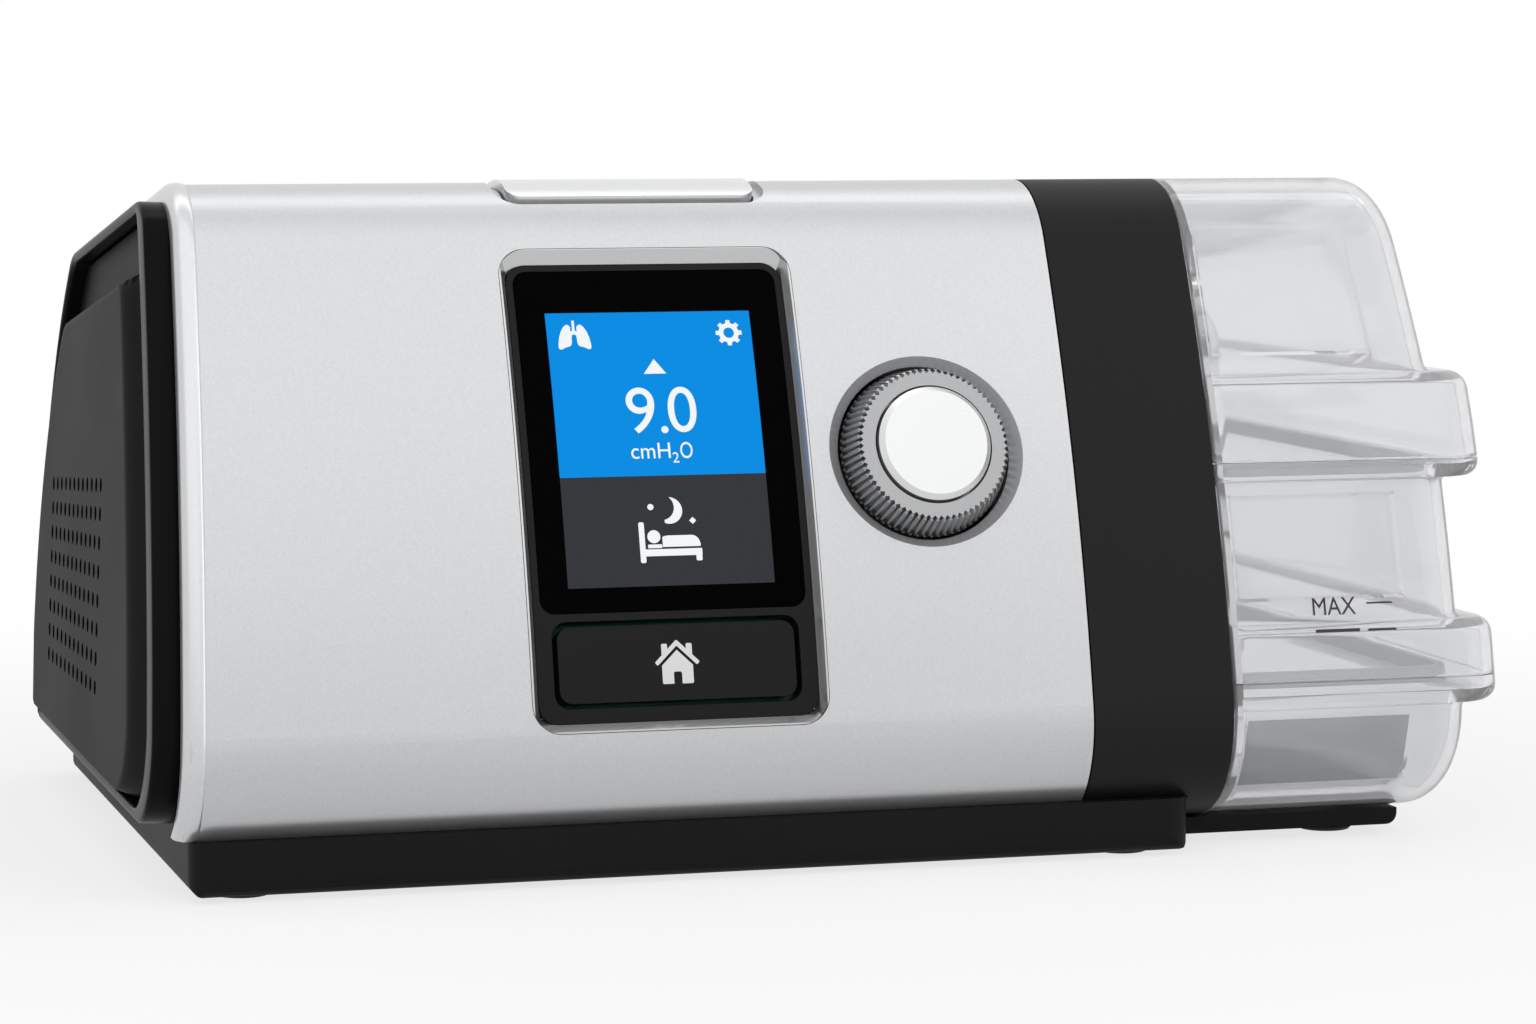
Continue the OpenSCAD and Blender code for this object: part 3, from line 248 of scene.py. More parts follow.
def finish(name, colour, roughness, size=0.3, depth=0.004, speckle=0.0, mottle=0.05, spread=0.05, **sockets):
    """A moulded or painted finish: colour, gloss and bump vary over the surface.

    The grain's size and depth are in millimetres. Speckle and mottle are shares of the
    colour, and spread is how far the roughness goes up and down.
    """
    material, tree, shader = new_material(name)
    place = add_node(tree, "TexCoord").outputs["Object"]
    grain = add_node(tree, "Group", node_tree=shared("grain", grain_group))
    set_inputs(tree, grain, {"Vector": place, "Size": size})
    tone = blend_colours(tree, grain.outputs["Mottle"], scaled(colour, 1 - mottle), scaled(colour, 1 + mottle))
    if speckle:
        shade = blend_colours(tree, grain.outputs["Speckle"], scaled((1, 1, 1), 1 - speckle), (1, 1, 1, 1))
        tone = blend_colours(tree, 1.0, tone, shade, "MULTIPLY")
    low, high = max(0.0, roughness - spread), min(1.0, roughness + spread)
    gloss = add_node(tree, "MapRange", {"Value": grain.outputs["Mottle"], "To Min": low, "To Max": high})
    inputs = {"Base Color": tone, "Roughness": gloss.outputs["Result"]}
    if depth:
        bump = add_node(tree, "Bump", {"Distance": depth * MM, "Height": grain.outputs["Height"]})
        inputs["Normal"] = bump.outputs["Normal"]
    for label, value in sockets.items():
        inputs[label.replace("_", " ").title().replace("Ior", "IOR")] = value
    set_inputs(tree, shader, inputs)
    return material


def lit(name, colour, strength):
    """A lit field of the display, with faint pixels."""
    material, tree, shader = new_material(name)
    place = add_node(tree, "TexCoord").outputs["Object"]
    pixels = add_node(tree, "Group", node_tree=shared("pixels", pixel_group))
    set_inputs(tree, pixels, {"Vector": place})
    tone = blend_colours(tree, pixels.outputs["Level"], scaled(colour, 0.94), scaled(colour, 1.03))
    set_inputs(tree, shader, {
        "Emission Color": tone, "Emission Strength": strength, "Base Color": (0.003, 0.003, 0.004, 1),
        "Roughness": 0.12, "Specular IOR Level": 0.01,
    })
    return material


def dress(material, *names):
    """Gives that material to CAD nodes."""
    for name in names:
        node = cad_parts[name]
        if node.material_slots:
            for slot in node.material_slots:
                slot.material = material
        else:
            node.data.materials.append(material)


# Making pieces


def deselect():
    if bpy.context.object and bpy.context.object.mode != "OBJECT":
        bpy.ops.object.mode_set(mode="OBJECT")
    bpy.ops.object.select_all(action="DESELECT")


def select(*objects):
    deselect()
    for obj in objects:
        obj.select_set(True)
    bpy.context.view_layer.objects.active = objects[0]


def apply_modifier(obj, kind, **values):
    modifier = obj.modifiers.new(kind.title(), kind)
    for label, value in values.items():
        setattr(modifier, label, value)
    select(obj)
    bpy.ops.object.modifier_apply(modifier=modifier.name)


def flat_shape(outlines):
    """A filled flat mesh object from closed outlines in millimetres; inner outlines are holes."""
    curve = bpy.data.curves.new("outline", "CURVE")
    curve.dimensions = "2D"
    curve.fill_mode = "BOTH"
    for points in outlines:
        spline = curve.splines.new("POLY")
        spline.points.add(len(points) - 1)
        for point, (u, v) in zip(spline.points, points):
            point.co = (u, v, 0, 1)
        spline.use_cyclic_u = True
    obj = bpy.data.objects.new("outline", curve)
    bpy.context.scene.collection.objects.link(obj)
    select(obj)
    bpy.ops.object.convert(target="MESH")
    return bpy.context.object


def flat_text(body, width, height):
    """Lettering as a flat mesh of that width and height in millimetres, centred."""
    deselect()
    bpy.ops.object.text_add(location=(0, 0, 0))
    obj = bpy.context.object
    obj.data.body = body
    obj.data.fill_mode = "FRONT"
    bpy.ops.object.convert(target="MESH")
    obj = bpy.context.object
    xs = [v.co.x for v in obj.data.vertices]
    ys = [v.co.y for v in obj.data.vertices]
    for v in obj.data.vertices:
        v.co.x = ((v.co.x - min(xs)) / (max(xs) - min(xs)) - 0.5) * width
        v.co.y = ((v.co.y - min(ys)) / (max(ys) - min(ys)) - 0.5) * height
        v.co.z = 0
    return obj


def join(objects, name):
    select(*objects)
    if len(objects) > 1:
        bpy.ops.object.join()
    obj = bpy.context.object
    obj.name = obj.data.name = name
    return obj


def wrap(obj, x, s, w, thickness, step=1.5):
    """Lays a flat shape on the bowed front, centred at x and s, as a thin closed sheet."""
    mesh = bmesh.new()
    mesh.from_mesh(obj.data)
    bmesh.ops.remove_doubles(mesh, verts=mesh.verts, dist=1e-5)
    heights = [v.co.y for v in mesh.verts]
    cut = min(heights) + step
    while cut < max(heights):
        bmesh.ops.bisect_plane(
            mesh, geom=mesh.verts[:] + mesh.edges[:] + mesh.faces[:], plane_co=(0, cut, 0), plane_no=(0, 1, 0)
        )
        cut += step
    for face in mesh.faces:
        if face.normal.z < 0:
            face.normal_flip()
    for v in mesh.verts:
        v.co = on_bow(x + v.co.x, s + v.co.y, w)
    bmesh.ops.recalc_face_normals(mesh, faces=mesh.faces)
    if sum(f.normal.y * f.calc_area() for f in mesh.faces) > 0:
        bmesh.ops.reverse_faces(mesh, faces=mesh.faces)
    mesh.to_mesh(obj.data)
    mesh.free()
    apply_modifier(obj, "SOLIDIFY", thickness=thickness * MM, offset=1.0)
    return obj


def paint(obj, material):
    obj.data.materials.clear()
    obj.data.materials.append(material)
    return obj


def circle(u, v, r, n=28, a0=0.0):
    return [(u + r * math.cos(a0 + 2 * math.pi * k / n), v + r * math.sin(a0 + 2 * math.pi * k / n)) for k in range(n)]


def arc(u, v, r, a0, a1, n=10):
    return [
        (u + r * math.cos(math.radians(a0 + (a1 - a0) * k / n)), v + r * math.sin(math.radians(a0 + (a1 - a0) * k / n)))
        for k in range(n + 1)
    ]


def rounded(u0, u1, v0, v1, r, n=5):
    return (
        arc(u1 - r, v1 - r, r, 0, 90, n) + arc(u0 + r, v1 - r, r, 90, 180, n)
        + arc(u0 + r, v0 + r, r, 180, 270, n) + arc(u1 - r, v0 + r, r, 270, 360, n)
    )


def mirrored(points):
    return [(-u, v) for u, v in reversed(points)]


# The lit screen and its signs, in millimetres across and up the front, each sign around its own middle but the bed

# Depths under the skin: the lit fields, the signs on them, and the sign on the button
FIELD_W, SIGN_W, HOME_W = -1.44, -1.408, -1.39
FIELD_X, FIELD_S = (58.7, 91.5), (-13.25, 30.75)
HOME_PLACE = (75.1, -25.15)
# The lettering: text, middle across and up, width and height
LETTERING = (
    ("9", 72.42, 14.62, 4.5, 7.4), (".", 76.0, 11.45, 1.15, 1.15), ("0", 79.05, 14.65, 4.55, 7.35),
    ("cmH", 73.43, 8.1, 6.25, 2.5), ("2", 77.35, 6.95, 1.0, 1.65), ("O", 79.12, 8.08, 1.95, 2.6),
)
# How far printed ink stands off what it is on, and how thick it is
PRINT_LIFT, PRINT_T = 0.03, 0.02


def gear_outline(u, v, outer, root, teeth):
    points = []
    for k in range(teeth):
        middle = 90 + 360 * k / teeth
        for r, turn in ((root, -13.5), (outer, -8.5), (outer, 8.5), (root, 13.5)):
            a = math.radians(middle + turn)
            points.append((u + r * math.cos(a), v + r * math.sin(a)))
    return points


def lungs():
    lobe = [
        (-0.5, 1.35), (-0.78, 1.68), (-1.15, 1.72), (-1.6, 1.35), (-2.05, 0.6), (-2.38, -0.35), (-2.58, -1.4),
        (-2.6, -2.05), (-2.45, -2.3), (-2.15, -2.35), (-1.5, -2.02), (-0.85, -1.85), (-0.55, -1.62), (-0.42, -1.1),
        (-0.42, -0.55), (-0.34, -0.12), (-0.5, 0.1),
    ]
    pipe = [
        (-0.2, 2.4), (-0.2, 0.75), (-0.95, 0.3), (-0.6, -0.15), (-0.22, 0.02), (0, 0.16),
        (0.22, 0.02), (0.6, -0.15), (0.95, 0.3), (0.2, 0.75), (0.2, 2.4),
    ]
    return [lobe], [mirrored(lobe)], [pipe]


def moon():
    outer = arc(0, 0, 2.1, -112, 86, 26)
    inner = arc(-1.24, 0.54, 2.06, 52, -78, 20)
    return [outer + inner]


def bed():
    return (
        [rounded(70.45, 71.33, -9.62, -3.22, 0.28)],
        [rounded(71.0, 80.3, -8.58, -7.5, 0.1, 2)],
        [rounded(79.3, 80.25, -9.45, -7.5, 0.25)],
        [rounded(71.75, 74.0, -7.33, -6.75, 0.15)],
        [
            [(74.1, -7.18), (80.1, -7.18), (80.1, -6.6)] + arc(78.7, -6.75, 1.35, 8, 90, 7)
            + [(75.0, -5.4), (74.3, -5.5), (74.1, -5.7)]
        ],
        [circle(72.78, -5.53, 1.03)],
    )


def house():
    door = (
        [(-0.65, -3.3), (-0.65, -1.75)] + arc(-0.33, -1.75, 0.32, 180, 90, 4)
        + arc(0.33, -1.75, 0.32, 90, 0, 4) + [(0.65, -3.3)]
    )
    left, right = [(-2.45, -0.45), (-2.45, -3.15), (-2.3, -3.3)], [(2.3, -3.3), (2.45, -3.15), (2.45, -0.45)]
    walls = [(0, 1.92)] + left + door + right
    roof = [
        (0.12, 3.4), (3.42, 0.16), (3.5, -0.02), (3.24, -0.36), (3.04, -0.4), (0, 2.56),
        (-3.04, -0.4), (-3.24, -0.36), (-3.5, -0.02), (-3.42, 0.16), (-0.12, 3.4),
    ]
    chimney = [(1.48, 1.8), (2.42, 0.9), (2.42, 2.75), (2.28, 2.9), (1.62, 2.9), (1.48, 2.75)]
    return [walls], [roof], [chimney], [mirrored(chimney)]


class BREATHING_OT_housing(bpy.types.Operator):
    """Finish the shell, the black mouldings, the feet and all that is inside"""

    bl_idname = "breathing.housing"
    bl_label = "Finish housing"

    def execute(self, context):
        p = look(context, "housing")
        silver = finish("Silver paint", p.silver, p.silver_roughness, 0.16, 0.0025, 0.10, 0.012, 0.03, metallic=0.72)
        trim = finish("Trim satin", p.trim, 0.22, 0.12, 0.0012, 0.04, 0.015, 0.03, metallic=0.9)
        button = finish("Button satin", p.button, 0.27, 0.12, 0.0012, 0.03, 0.01, 0.03, metallic=0.8)
        ring = finish("Ring satin", p.ring, 0.28, 0.1, 0.001, 0.05, 0.02, 0.03, metallic=1.0)
        black = finish("Black moulding", p.black, 0.5, 0.35, 0.01, 0.0, 0.12, 0.05, specular_ior_level=0.14)
        base = finish("Black base", scaled(p.black, 0.9), 0.5, 0.35, 0.01, 0.0, 0.12, 0.05, specular_ior_level=0.08)
        bezel = finish("Black bezel", scaled(p.black, 0.9), 0.34, 0.3, 0.001, 0.0, 0.08, 0.04, specular_ior_level=0.12)
        rubber = finish("Black rubber", (0.018, 0.018, 0.018), 0.75, 0.5, 0.012, 0.0, 0.15, 0.08)
        glass = finish("Screen glass", (0.0008, 0.0008, 0.001), 0.07, 3.0, 0.0, 0.0, 0.1, 0.02, specular_ior_level=0.01)
        dress(silver, "front_shell")
        dress(trim, "screen_trim")
        dress(button, "start_button", "dial_cap")
        dress(ring, "dial_ring")
        dress(black, "rear_housing", "side_plate", "humidifier_band")
        dress(base, "base_plinth")
        dress(bezel, "display_bezel", "home_button")
        dress(rubber, "rubber_feet", "port_seals")
        pale = finish("Pale silicone", (0.7, 0.71, 0.73), 0.4, 0.5, 0.004, transmission_weight=0.5, ior=1.4)
        dress(pale, "foot_seal", "tub_seal")
        dress(glass, "display_glass")
        green = finish("Circuit board", (0.015, 0.1, 0.045), 0.42, 1.2, 0.03, 0.2)
        dress(green, "display_board", "dial_board", "start_board", "main_board")
        nylon = finish("Grey nylon", (0.028, 0.029, 0.032), 0.48, 0.4, 0.01)
        dress(nylon, "home_switch", "dial_switch", "start_switch", "encoder_base", "power_socket")
        steel = finish("Steel", (0.5, 0.5, 0.52), 0.3, 0.15, 0.003, 0.06, metallic=1.0)
        dress(steel, "case_screws", "lid_hinge_pin", "blower_motor")
        plate = finish("Plate metal", (0.62, 0.63, 0.64), 0.33, 0.2, 0.004, 0.08, metallic=1.0)
        dress(plate, "heater_plate", "tub_heat_plate")
        dress(finish("Filter pad", (0.74, 0.75, 0.71), 0.9, 0.35, 0.2, 0.25), "air_filter")
        dress(finish("Foam", (0.06, 0.06, 0.065), 0.95, 0.8, 0.6, 0.4), "muffler_foam")
        duct = finish("Duct grey", (0.085, 0.092, 0.1), 0.45, 0.4, 0.01)
        dress(duct, "blower_base", "blower_cap", "flow_tube", "outlet_duct", "outlet_port")
        dress(finish("Wheel white", (0.74, 0.75, 0.77), 0.4, 0.4, 0.008), "impeller")
        dress(finish("Mount rubber", (0.24, 0.055, 0.03), 0.7, 0.5, 0.02), "blower_mounts")
        smoothed(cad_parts["base_plinth"], 32)
        return {"FINISHED"}


def fixed_to(obj, body):
    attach(obj, body)
    return obj


class BREATHING_OT_screen(bpy.types.Operator):
    """Build the lit fields of the screen and the signs on them"""

    bl_idname = "breathing.screen"
    bl_label = "Build screen"

    def execute(self, context):
        p = look(context, "screen")
        upper = lit("Lit blue", p.upper, 1.0)
        lower = lit("Lit grey", p.lower, 1.0)
        white = lit("Lit white", p.sign, 1.0)
        dress(upper, "lcd_panel")
        (left, right), (low, high) = FIELD_X, FIELD_S
        split = p.split / MM
        half = (right - left) / 2
        fields = []
        for v0, v1, material in ((low, split, lower), (split, high, upper)):
            middle = (v0 + v1) / 2
            field = flat_shape([rounded(-half, half, v0 - middle, v1 - middle, 0.12, 2)])
            wrap(field, (left + right) / 2, middle, FIELD_W, 0.03, 1.0)
            fields.append(paint(field, material))
        fixed_to(join(fields, "screen_fields"), "housing")

        signs = []

        def sign(parts, x, s):
            for outlines in parts:
                signs.append(wrap(flat_shape(outlines), x, s, SIGN_W, PRINT_T))

        sign(lungs(), 63.0, 27.1)
        sign([[gear_outline(0, 0, 2.12, 1.62, 8), circle(0, 0, 0.86, 28)]], 87.85, 27.1)
        sign([[[(-1.8, -1.2), (1.8, -1.2), (0, 1.2)]]], 75.3, 21.75)
        sign([moon()], 75.5, -1.46)
        sign([[circle(72.6, -0.85, 0.5, 12)], [circle(79.14, -3.13, 0.56, 4)]], 0, 0)
        sign(bed(), 0, 0)
        for body, x, s, width, height in LETTERING:
            signs.append(wrap(flat_text(body, width, height), x, s, SIGN_W, PRINT_T))
        board = join(signs, "screen_signs")
        fixed_to(paint(board, white), "housing")

        home_sign = join([wrap(flat_shape(outlines), *HOME_PLACE, HOME_W, 0.03) for outlines in house()], "home_sign")
        print_white = finish("White print", (0.82, 0.82, 0.82), 0.4, 0.2, 0.001)
        fixed_to(paint(home_sign, print_white), "home")
        return {"FINISHED"}


# The side outline of the machine, in millimetres: the low arc, the bowed front, the
# nose, the straight roof, the shoulder, the back and the heel

BELLY_Z, TOP_Z = 3.2, 105.0
LOW_R, NOSE_R, SHOULDER_R, BACK_R, HEEL_R = 17.0, 16.0, 14.0, 84.0, 10.0
ROOF_LEN, ROOF_A, BACK_A = 68.0, 98.5, 131.0


def outward(a):
    """Direction in the side view, a degrees up from straight ahead."""
    return Vector((-math.cos(math.radians(a)), math.sin(math.radians(a))))


def lift(z, centre, r):
    """The angle at which a circle in the side view reaches the height z."""
    return math.degrees(math.asin((z - centre.y) / r))


BOW_C = Vector((BOW_Y, BOW_Z))
LOW_A = lift(BELLY_Z + LOW_R, BOW_C, FRONT_R - LOW_R)
LOW_C = BOW_C + (FRONT_R - LOW_R) * outward(LOW_A)
NOSE_A = lift(TOP_Z - NOSE_R, BOW_C, FRONT_R - NOSE_R)
NOSE_C = BOW_C + (FRONT_R - NOSE_R) * outward(NOSE_A)
ROOF_RUN = ROOF_LEN * Vector((math.sin(math.radians(ROOF_A)), math.cos(math.radians(ROOF_A))))
SHOULDER_C = NOSE_C + ROOF_RUN + (NOSE_R - SHOULDER_R) * outward(ROOF_A)
BACK_C = SHOULDER_C + (SHOULDER_R - BACK_R) * outward(BACK_A)
HEEL_A = 180 - lift(BELLY_Z + HEEL_R, BACK_C, BACK_R - HEEL_R)
HEEL_C = BACK_C + (BACK_R - HEEL_R) * outward(HEEL_A)


def stretch(centre, r, a0, a1, n):
    """Points of an arc of the side outline, without its first point."""
    return [centre + r * outward(a0 + (a1 - a0) * k / n) for k in range(1, n + 1)]


def on_front(z, d):
    """The outline's front, drawn in by d, at the height z."""
    centre, r = (LOW_C, LOW_R) if z < LOW_C.y + (LOW_R - d) * outward(LOW_A).y else (BOW_C, FRONT_R)
    return Vector((centre.x - math.sqrt((r - d) ** 2 - (z - centre.y) ** 2), z))


def on_back(z, d):
    return Vector((BACK_C.x + math.sqrt((BACK_R - d) ** 2 - (z - BACK_C.y) ** 2), z))


LOW_STEPS, NOSE_STEPS, ROOF_STEPS, SHOULDER_STEPS, HEEL_STEPS = 9, 14, 4, 7, 8


def side_ring(d, heights):
    """The closed outline drawn in by d, with a point of the front and one of the back at each height."""
    top = heights[-1]
    roof = [NOSE_C + (NOSE_R - d) * outward(ROOF_A) + ROOF_RUN * k / ROOF_STEPS for k in range(1, ROOF_STEPS)]
    return (
        [LOW_C + (LOW_R - d) * outward(-90)] + stretch(LOW_C, LOW_R - d, -90, 0, LOW_STEPS)
        + [on_front(z, d) for z in heights[1:]]
        + stretch(BOW_C, FRONT_R - d, lift(top, BOW_C, FRONT_R - d), NOSE_A, 2)
        + stretch(NOSE_C, NOSE_R - d, NOSE_A, ROOF_A, NOSE_STEPS) + roof
        + [SHOULDER_C + (SHOULDER_R - d) * outward(ROOF_A)]
        + stretch(SHOULDER_C, SHOULDER_R - d, ROOF_A, BACK_A, SHOULDER_STEPS)
        + stretch(BACK_C, BACK_R - d, BACK_A, 180 - lift(top, BACK_C, BACK_R - d), 2)
        + [on_back(z, d) for z in reversed(heights[:-1])]
        + [BACK_C + (BACK_R - d) * outward(HEEL_A)] + stretch(HEEL_C, HEEL_R - d, HEEL_A, 270, HEEL_STEPS)
    )


FRONT_HEIGHTS = [25.0 + 5 * k for k in range(12)]


# The left side: the silver edge, the rim and the filter cover on a plane that leans inwards, in millimetres

SIDE_X, SIDE_LEAN = -1.3, math.radians(2.5)
SIDE_MIDDLE = Vector((78.0, 52.0))
SIDE_STEPS = 288
# Shifts and inward draws of the rim's outline and the opening's, and the rounding of their edges
RIM_SHIFT, OPENING_SHIFT = (2.7, 2.8), (7.5, 2.8)
RIM_IN, OPENING_IN, RIM_ROUND = 2.6, 4.4, 0.8
# Where the silver shell starts above the base and ends on the roof, and its edge's lowest heights
BASE_TOP, ROOF_SEAM_Y = 7.9, 78.0
LOW_HEIGHTS = [BASE_TOP + 0.1, 10.0, 12.0, 14.0, 16.0, 18.0, 20.0]

# Distance out and further draw inwards of the cover's outer edge
COVER_EDGE = ((0.7, 0.35), (1.8, 0.35), (2.1, 0.5), (2.2, 0.8))
# Share of the way and distance out along the slope from the cover's edge to its raised middle
COVER_SLOPE = ((0.0, 2.25), (0.06, 2.45), (0.3, 3.4), (0.6, 4.6), (0.8, 5.35), (0.9, 5.65), (0.97, 5.82), (1.05, 5.9))
SLOPE_FRONT, SLOPE_TOP = (9.0, 19.9), (8.0, 9.5)

# Vent holes: radius, length and middle of each cutter, rows and columns
VENT_R, VENT_CUT, VENT_OUT, VENT_ROWS, VENT_COLS = 1.2, 12.0, 3.0, 8, 12
# Place and pitch of the columns, and of the rows at the first column and at the last
VENT_Y, VENT_PITCH = 58.0, 5.2
VENT_FRONT, VENT_BACK = (24.0, 4.65), (22.6, 4.2)

# Distance out of the left end and draw inwards of the section of the rounded edge, which is painted lighter as a
# painted highlight
EDGE_SECTION = (
    (-2.5, 0.35), (-2.3, -0.1), (-1.9, -0.24), (-1.3, -0.3), (-0.6, -0.24), (0.0, -0.02), (0.45, 0.32),
    (0.8, 0.8), (1.0, 1.35), (1.05, 1.9), (1.05, 2.8), (0.2, 3.0), (-0.6, 1.9), (-2.5, 0.9),
)


def on_side(out, y, z):
    """The point out millimetres off the leaning left side."""
    return at(
        SIDE_X - out * math.cos(SIDE_LEAN) + z * math.sin(SIDE_LEAN), y,
        out * math.sin(SIDE_LEAN) + z * math.cos(SIDE_LEAN),
    )


def outline_points(d, shift):
    """The side outline drawn in by d and moved by shift."""
    return [point + Vector(shift) for point in side_ring(d, FRONT_HEIGHTS)]


def outline_reach(points, direction):
    """How far a closed convex outline lies from SIDE_MIDDLE in that direction."""
    for a, b in zip(points, points[1:] + points[:1]):
        u, v = a - SIDE_MIDDLE, b - a
        across = direction.x * v.y - direction.y * v.x
        if abs(across) > 1e-9:
            far = (u.x * v.y - u.y * v.x) / across
            share = (u.x * direction.y - u.y * direction.x) / across
            if far > 0 and -1e-6 <= share <= 1 + 1e-6:
                return far
    return 0.0


def side_loop(d, *shifts):
    """The part that the outline drawn in by d shares with its shifted copies, as evenly fanned points."""
    outlines = [outline_points(d, shift) for shift in ((0, 0),) + shifts]
    loop = []
    for k in range(SIDE_STEPS):
        a = 2 * math.pi * k / SIDE_STEPS
        direction = Vector((math.cos(a), math.sin(a)))
        loop.append(SIDE_MIDDLE + direction * min(outline_reach(points, direction) for points in outlines))
    return loop


def side_loft(name, rows, closed):
    """A solid through rows of (distance out, loop), capped at both ends or closed into a frame."""
    mesh = bmesh.new()
    rings = [[mesh.verts.new(on_side(out, p.x, p.y)) for p in loop] for out, loop in rows]
    pairs = list(zip(rings, rings[1:]))
    if closed:
        pairs.append((rings[-1], rings[0]))
    for low, high in pairs:
        for k in range(SIDE_STEPS):
            n = (k + 1) % SIDE_STEPS
            mesh.faces.new((low[k], low[n], high[n], high[k]))
    if not closed:
        mesh.faces.new(rings[0])
        mesh.faces.new(rings[-1])
    bmesh.ops.recalc_face_normals(mesh, faces=mesh.faces)
    return from_bmesh(mesh, name)


def shell_path(d):
    """The silver shell's part of the outline, drawn in by d: from the base up to the roof's seam."""
    path = [on_front(z, d) for z in LOW_HEIGHTS + FRONT_HEIGHTS]
    path += stretch(BOW_C, FRONT_R - d, lift(FRONT_HEIGHTS[-1], BOW_C, FRONT_R - d), NOSE_A, 2)
    path += stretch(NOSE_C, NOSE_R - d, NOSE_A, ROOF_A, NOSE_STEPS)
    along = ROOF_RUN / ROOF_RUN.x
    return path + [path[-1] + along * (ROOF_SEAM_Y - path[-1].x) * k / 4 for k in range(1, 5)]


def rounding(r, steps=5):
    """Pairs of drop and draw of a quarter round, from its upright end to its flat end."""
    turns = [math.radians(90 * k / steps) for k in range(steps + 1)]
    return [(r - r * math.sin(a), r - r * math.cos(a)) for a in turns]


class BREATHING_OT_side(bpy.types.Operator):
    """Build the silver edge, the rounded rim and the filter cover of the left side"""

    bl_idname = "breathing.side"
    bl_label = "Build left side"

    def execute(self, context):
        p = look(context, "housing")
        self.build_edge(p)
        self.build_rim(p)
        self.build_cover(p)
        return {"FINISHED"}

    @staticmethod
    def build_edge(p):
        """The rounded edge along the silver shell's left end, bright from its lit rounding and from a painted
        highlight: a lighter copy of the silver.
        """
        mesh = bmesh.new()
        rings = [
            [mesh.verts.new(at(SIDE_X + q.y * math.tan(SIDE_LEAN) - out, q.x, q.y)) for q in shell_path(d)]
            for out, d in EDGE_SECTION
        ]
        for low, high in zip(rings, rings[1:] + rings[:1]):
            for k in range(len(low) - 1):
                mesh.faces.new((low[k], low[k + 1], high[k + 1], high[k]))
        for end in (0, -1):
            mesh.faces.new([ring[end] for ring in rings])
        bmesh.ops.recalc_face_normals(mesh, faces=mesh.faces)
        piece = from_bmesh(mesh, "silver_edge")
        # Painted highlight: the edge gets a lighter copy of the silver
        silver = finish("Silver edge", scaled(p.silver, 1.1), 0.3, 0.16, 0.0015, 0.06, 0.012, 0.03, metallic=0.72)
        fixed_to(smoothed(paint(piece, silver), 50), "housing")

    @staticmethod
    def build_rim(p):
        """The frame between the rim's outline and the opening's, with both edges rounded."""
        edge = rounding(RIM_ROUND)
        rows = [(0.0, side_loop(RIM_IN, RIM_SHIFT))]
        rows += [(p.rim_height - drop, side_loop(RIM_IN + draw, RIM_SHIFT)) for drop, draw in edge]
        rows += [(p.rim_height - drop, side_loop(OPENING_IN - draw, OPENING_SHIFT)) for drop, draw in reversed(edge)]
        rows.append((0.0, side_loop(OPENING_IN, OPENING_SHIFT)))
        piece = side_loft("rim_frame", rows, True)
        black = finish(
            "Black rim", scaled(p.black, 0.6), 0.3, 0.5, 0.0015, 0.0, 0.08, 0.05, specular_ior_level=0.3, ior=1.15
        )
        fixed_to(smoothed(paint(piece, black), 40), "housing")
        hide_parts("side_rim")

    @staticmethod
    def build_cover(p):
        """The cover's plate, the slope to its raised middle, and its vents."""
        rows = [(out, side_loop(OPENING_IN + draw, OPENING_SHIFT)) for out, draw in COVER_EDGE]
        for share, out in COVER_SLOPE:
            front, top = (low + (high - low) * share for low, high in (SLOPE_FRONT, SLOPE_TOP))
            shifts = (front, RIM_SHIFT[1]), (0, -top)
            rows.append((out, side_loop(5.0 + 0.4 * share, *shifts)))
        rows.append((out, side_loop(6.3, *shifts)))
        piece = side_loft("cover_panel", rows, False)
        holes = []
        for row in range(VENT_ROWS):
            front_z, back_z = (first + step * row for first, step in (VENT_FRONT, VENT_BACK))
            for k in range(VENT_COLS):
                z = front_z + (back_z - front_z) * k / (VENT_COLS - 1)
                deselect()
                bpy.ops.mesh.primitive_cylinder_add(
                    vertices=20, radius=VENT_R * MM, depth=VENT_CUT * MM,
                    location=on_side(VENT_OUT, VENT_Y + VENT_PITCH * k, z), rotation=(0, math.pi / 2 + SIDE_LEAN, 0),
                )
                bpy.ops.object.transform_apply(location=True, rotation=True, scale=True)
                holes.append(bpy.context.object)
        combine(piece, "DIFFERENCE", join(holes, "holes"))
        black = finish(
            "Black cover", scaled(p.black, 0.7), 0.42, 0.4, 0.012, 0.0, 0.1, 0.05, specular_ior_level=0.2, ior=1.12
        )
        fixed_to(smoothed(paint(piece, black), 40), "cover")
        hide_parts("filter_cover")


# The water tub, in millimetres

TUB_X, TUB_END = 165.5, 206.8
TUB_R, TUB_WALL = 6.5, 1.8
LID_Z, FOOT_Z, SEAM = 60.2, 26.0, 0.3
LID_LEAN, LEAN_FROM = math.tan(math.radians(5)), 70.0
LEDGES = ((21.8, 35.0, 212.5), (57.3, 73.9, 213.3))
LEDGE_ROUND, LEDGE_FILLET, LEDGE_PROUD = 2.6, 1.2, 0.8
WINDOWS = ((8.5, 19.4), (38.6, 55.2), (77.0, 97.0))
WINDOW_DEPTH, WINDOW_EDGE = 0.6, 0.5
PORTS, PORT_Z, PORT_R = (58.0, 92.0), 76.0, 7.0
HINGE_R, PIN_R, ARM_T = 2.2, 1.26, 1.6
HEATER_Y = (31.0, 107.0)
FOOT_SEAM, HINGE_GAP = 0.2, 0.8
# Left ends of the two hinges, and the reach across and in depth of the boxes that cut the form apart
HINGES = (TUB_X + 6, TUB_END - 12)
CUT_SPAN = (TUB_X - 5, TUB_END + 20, -20, 170)

# Top of the right side's rows, and heights that need a row besides the ledges and windows
ROWS_TOP, MORE_HEIGHTS = 84.0, [42.5, 47.0, 51.0, 80.5]
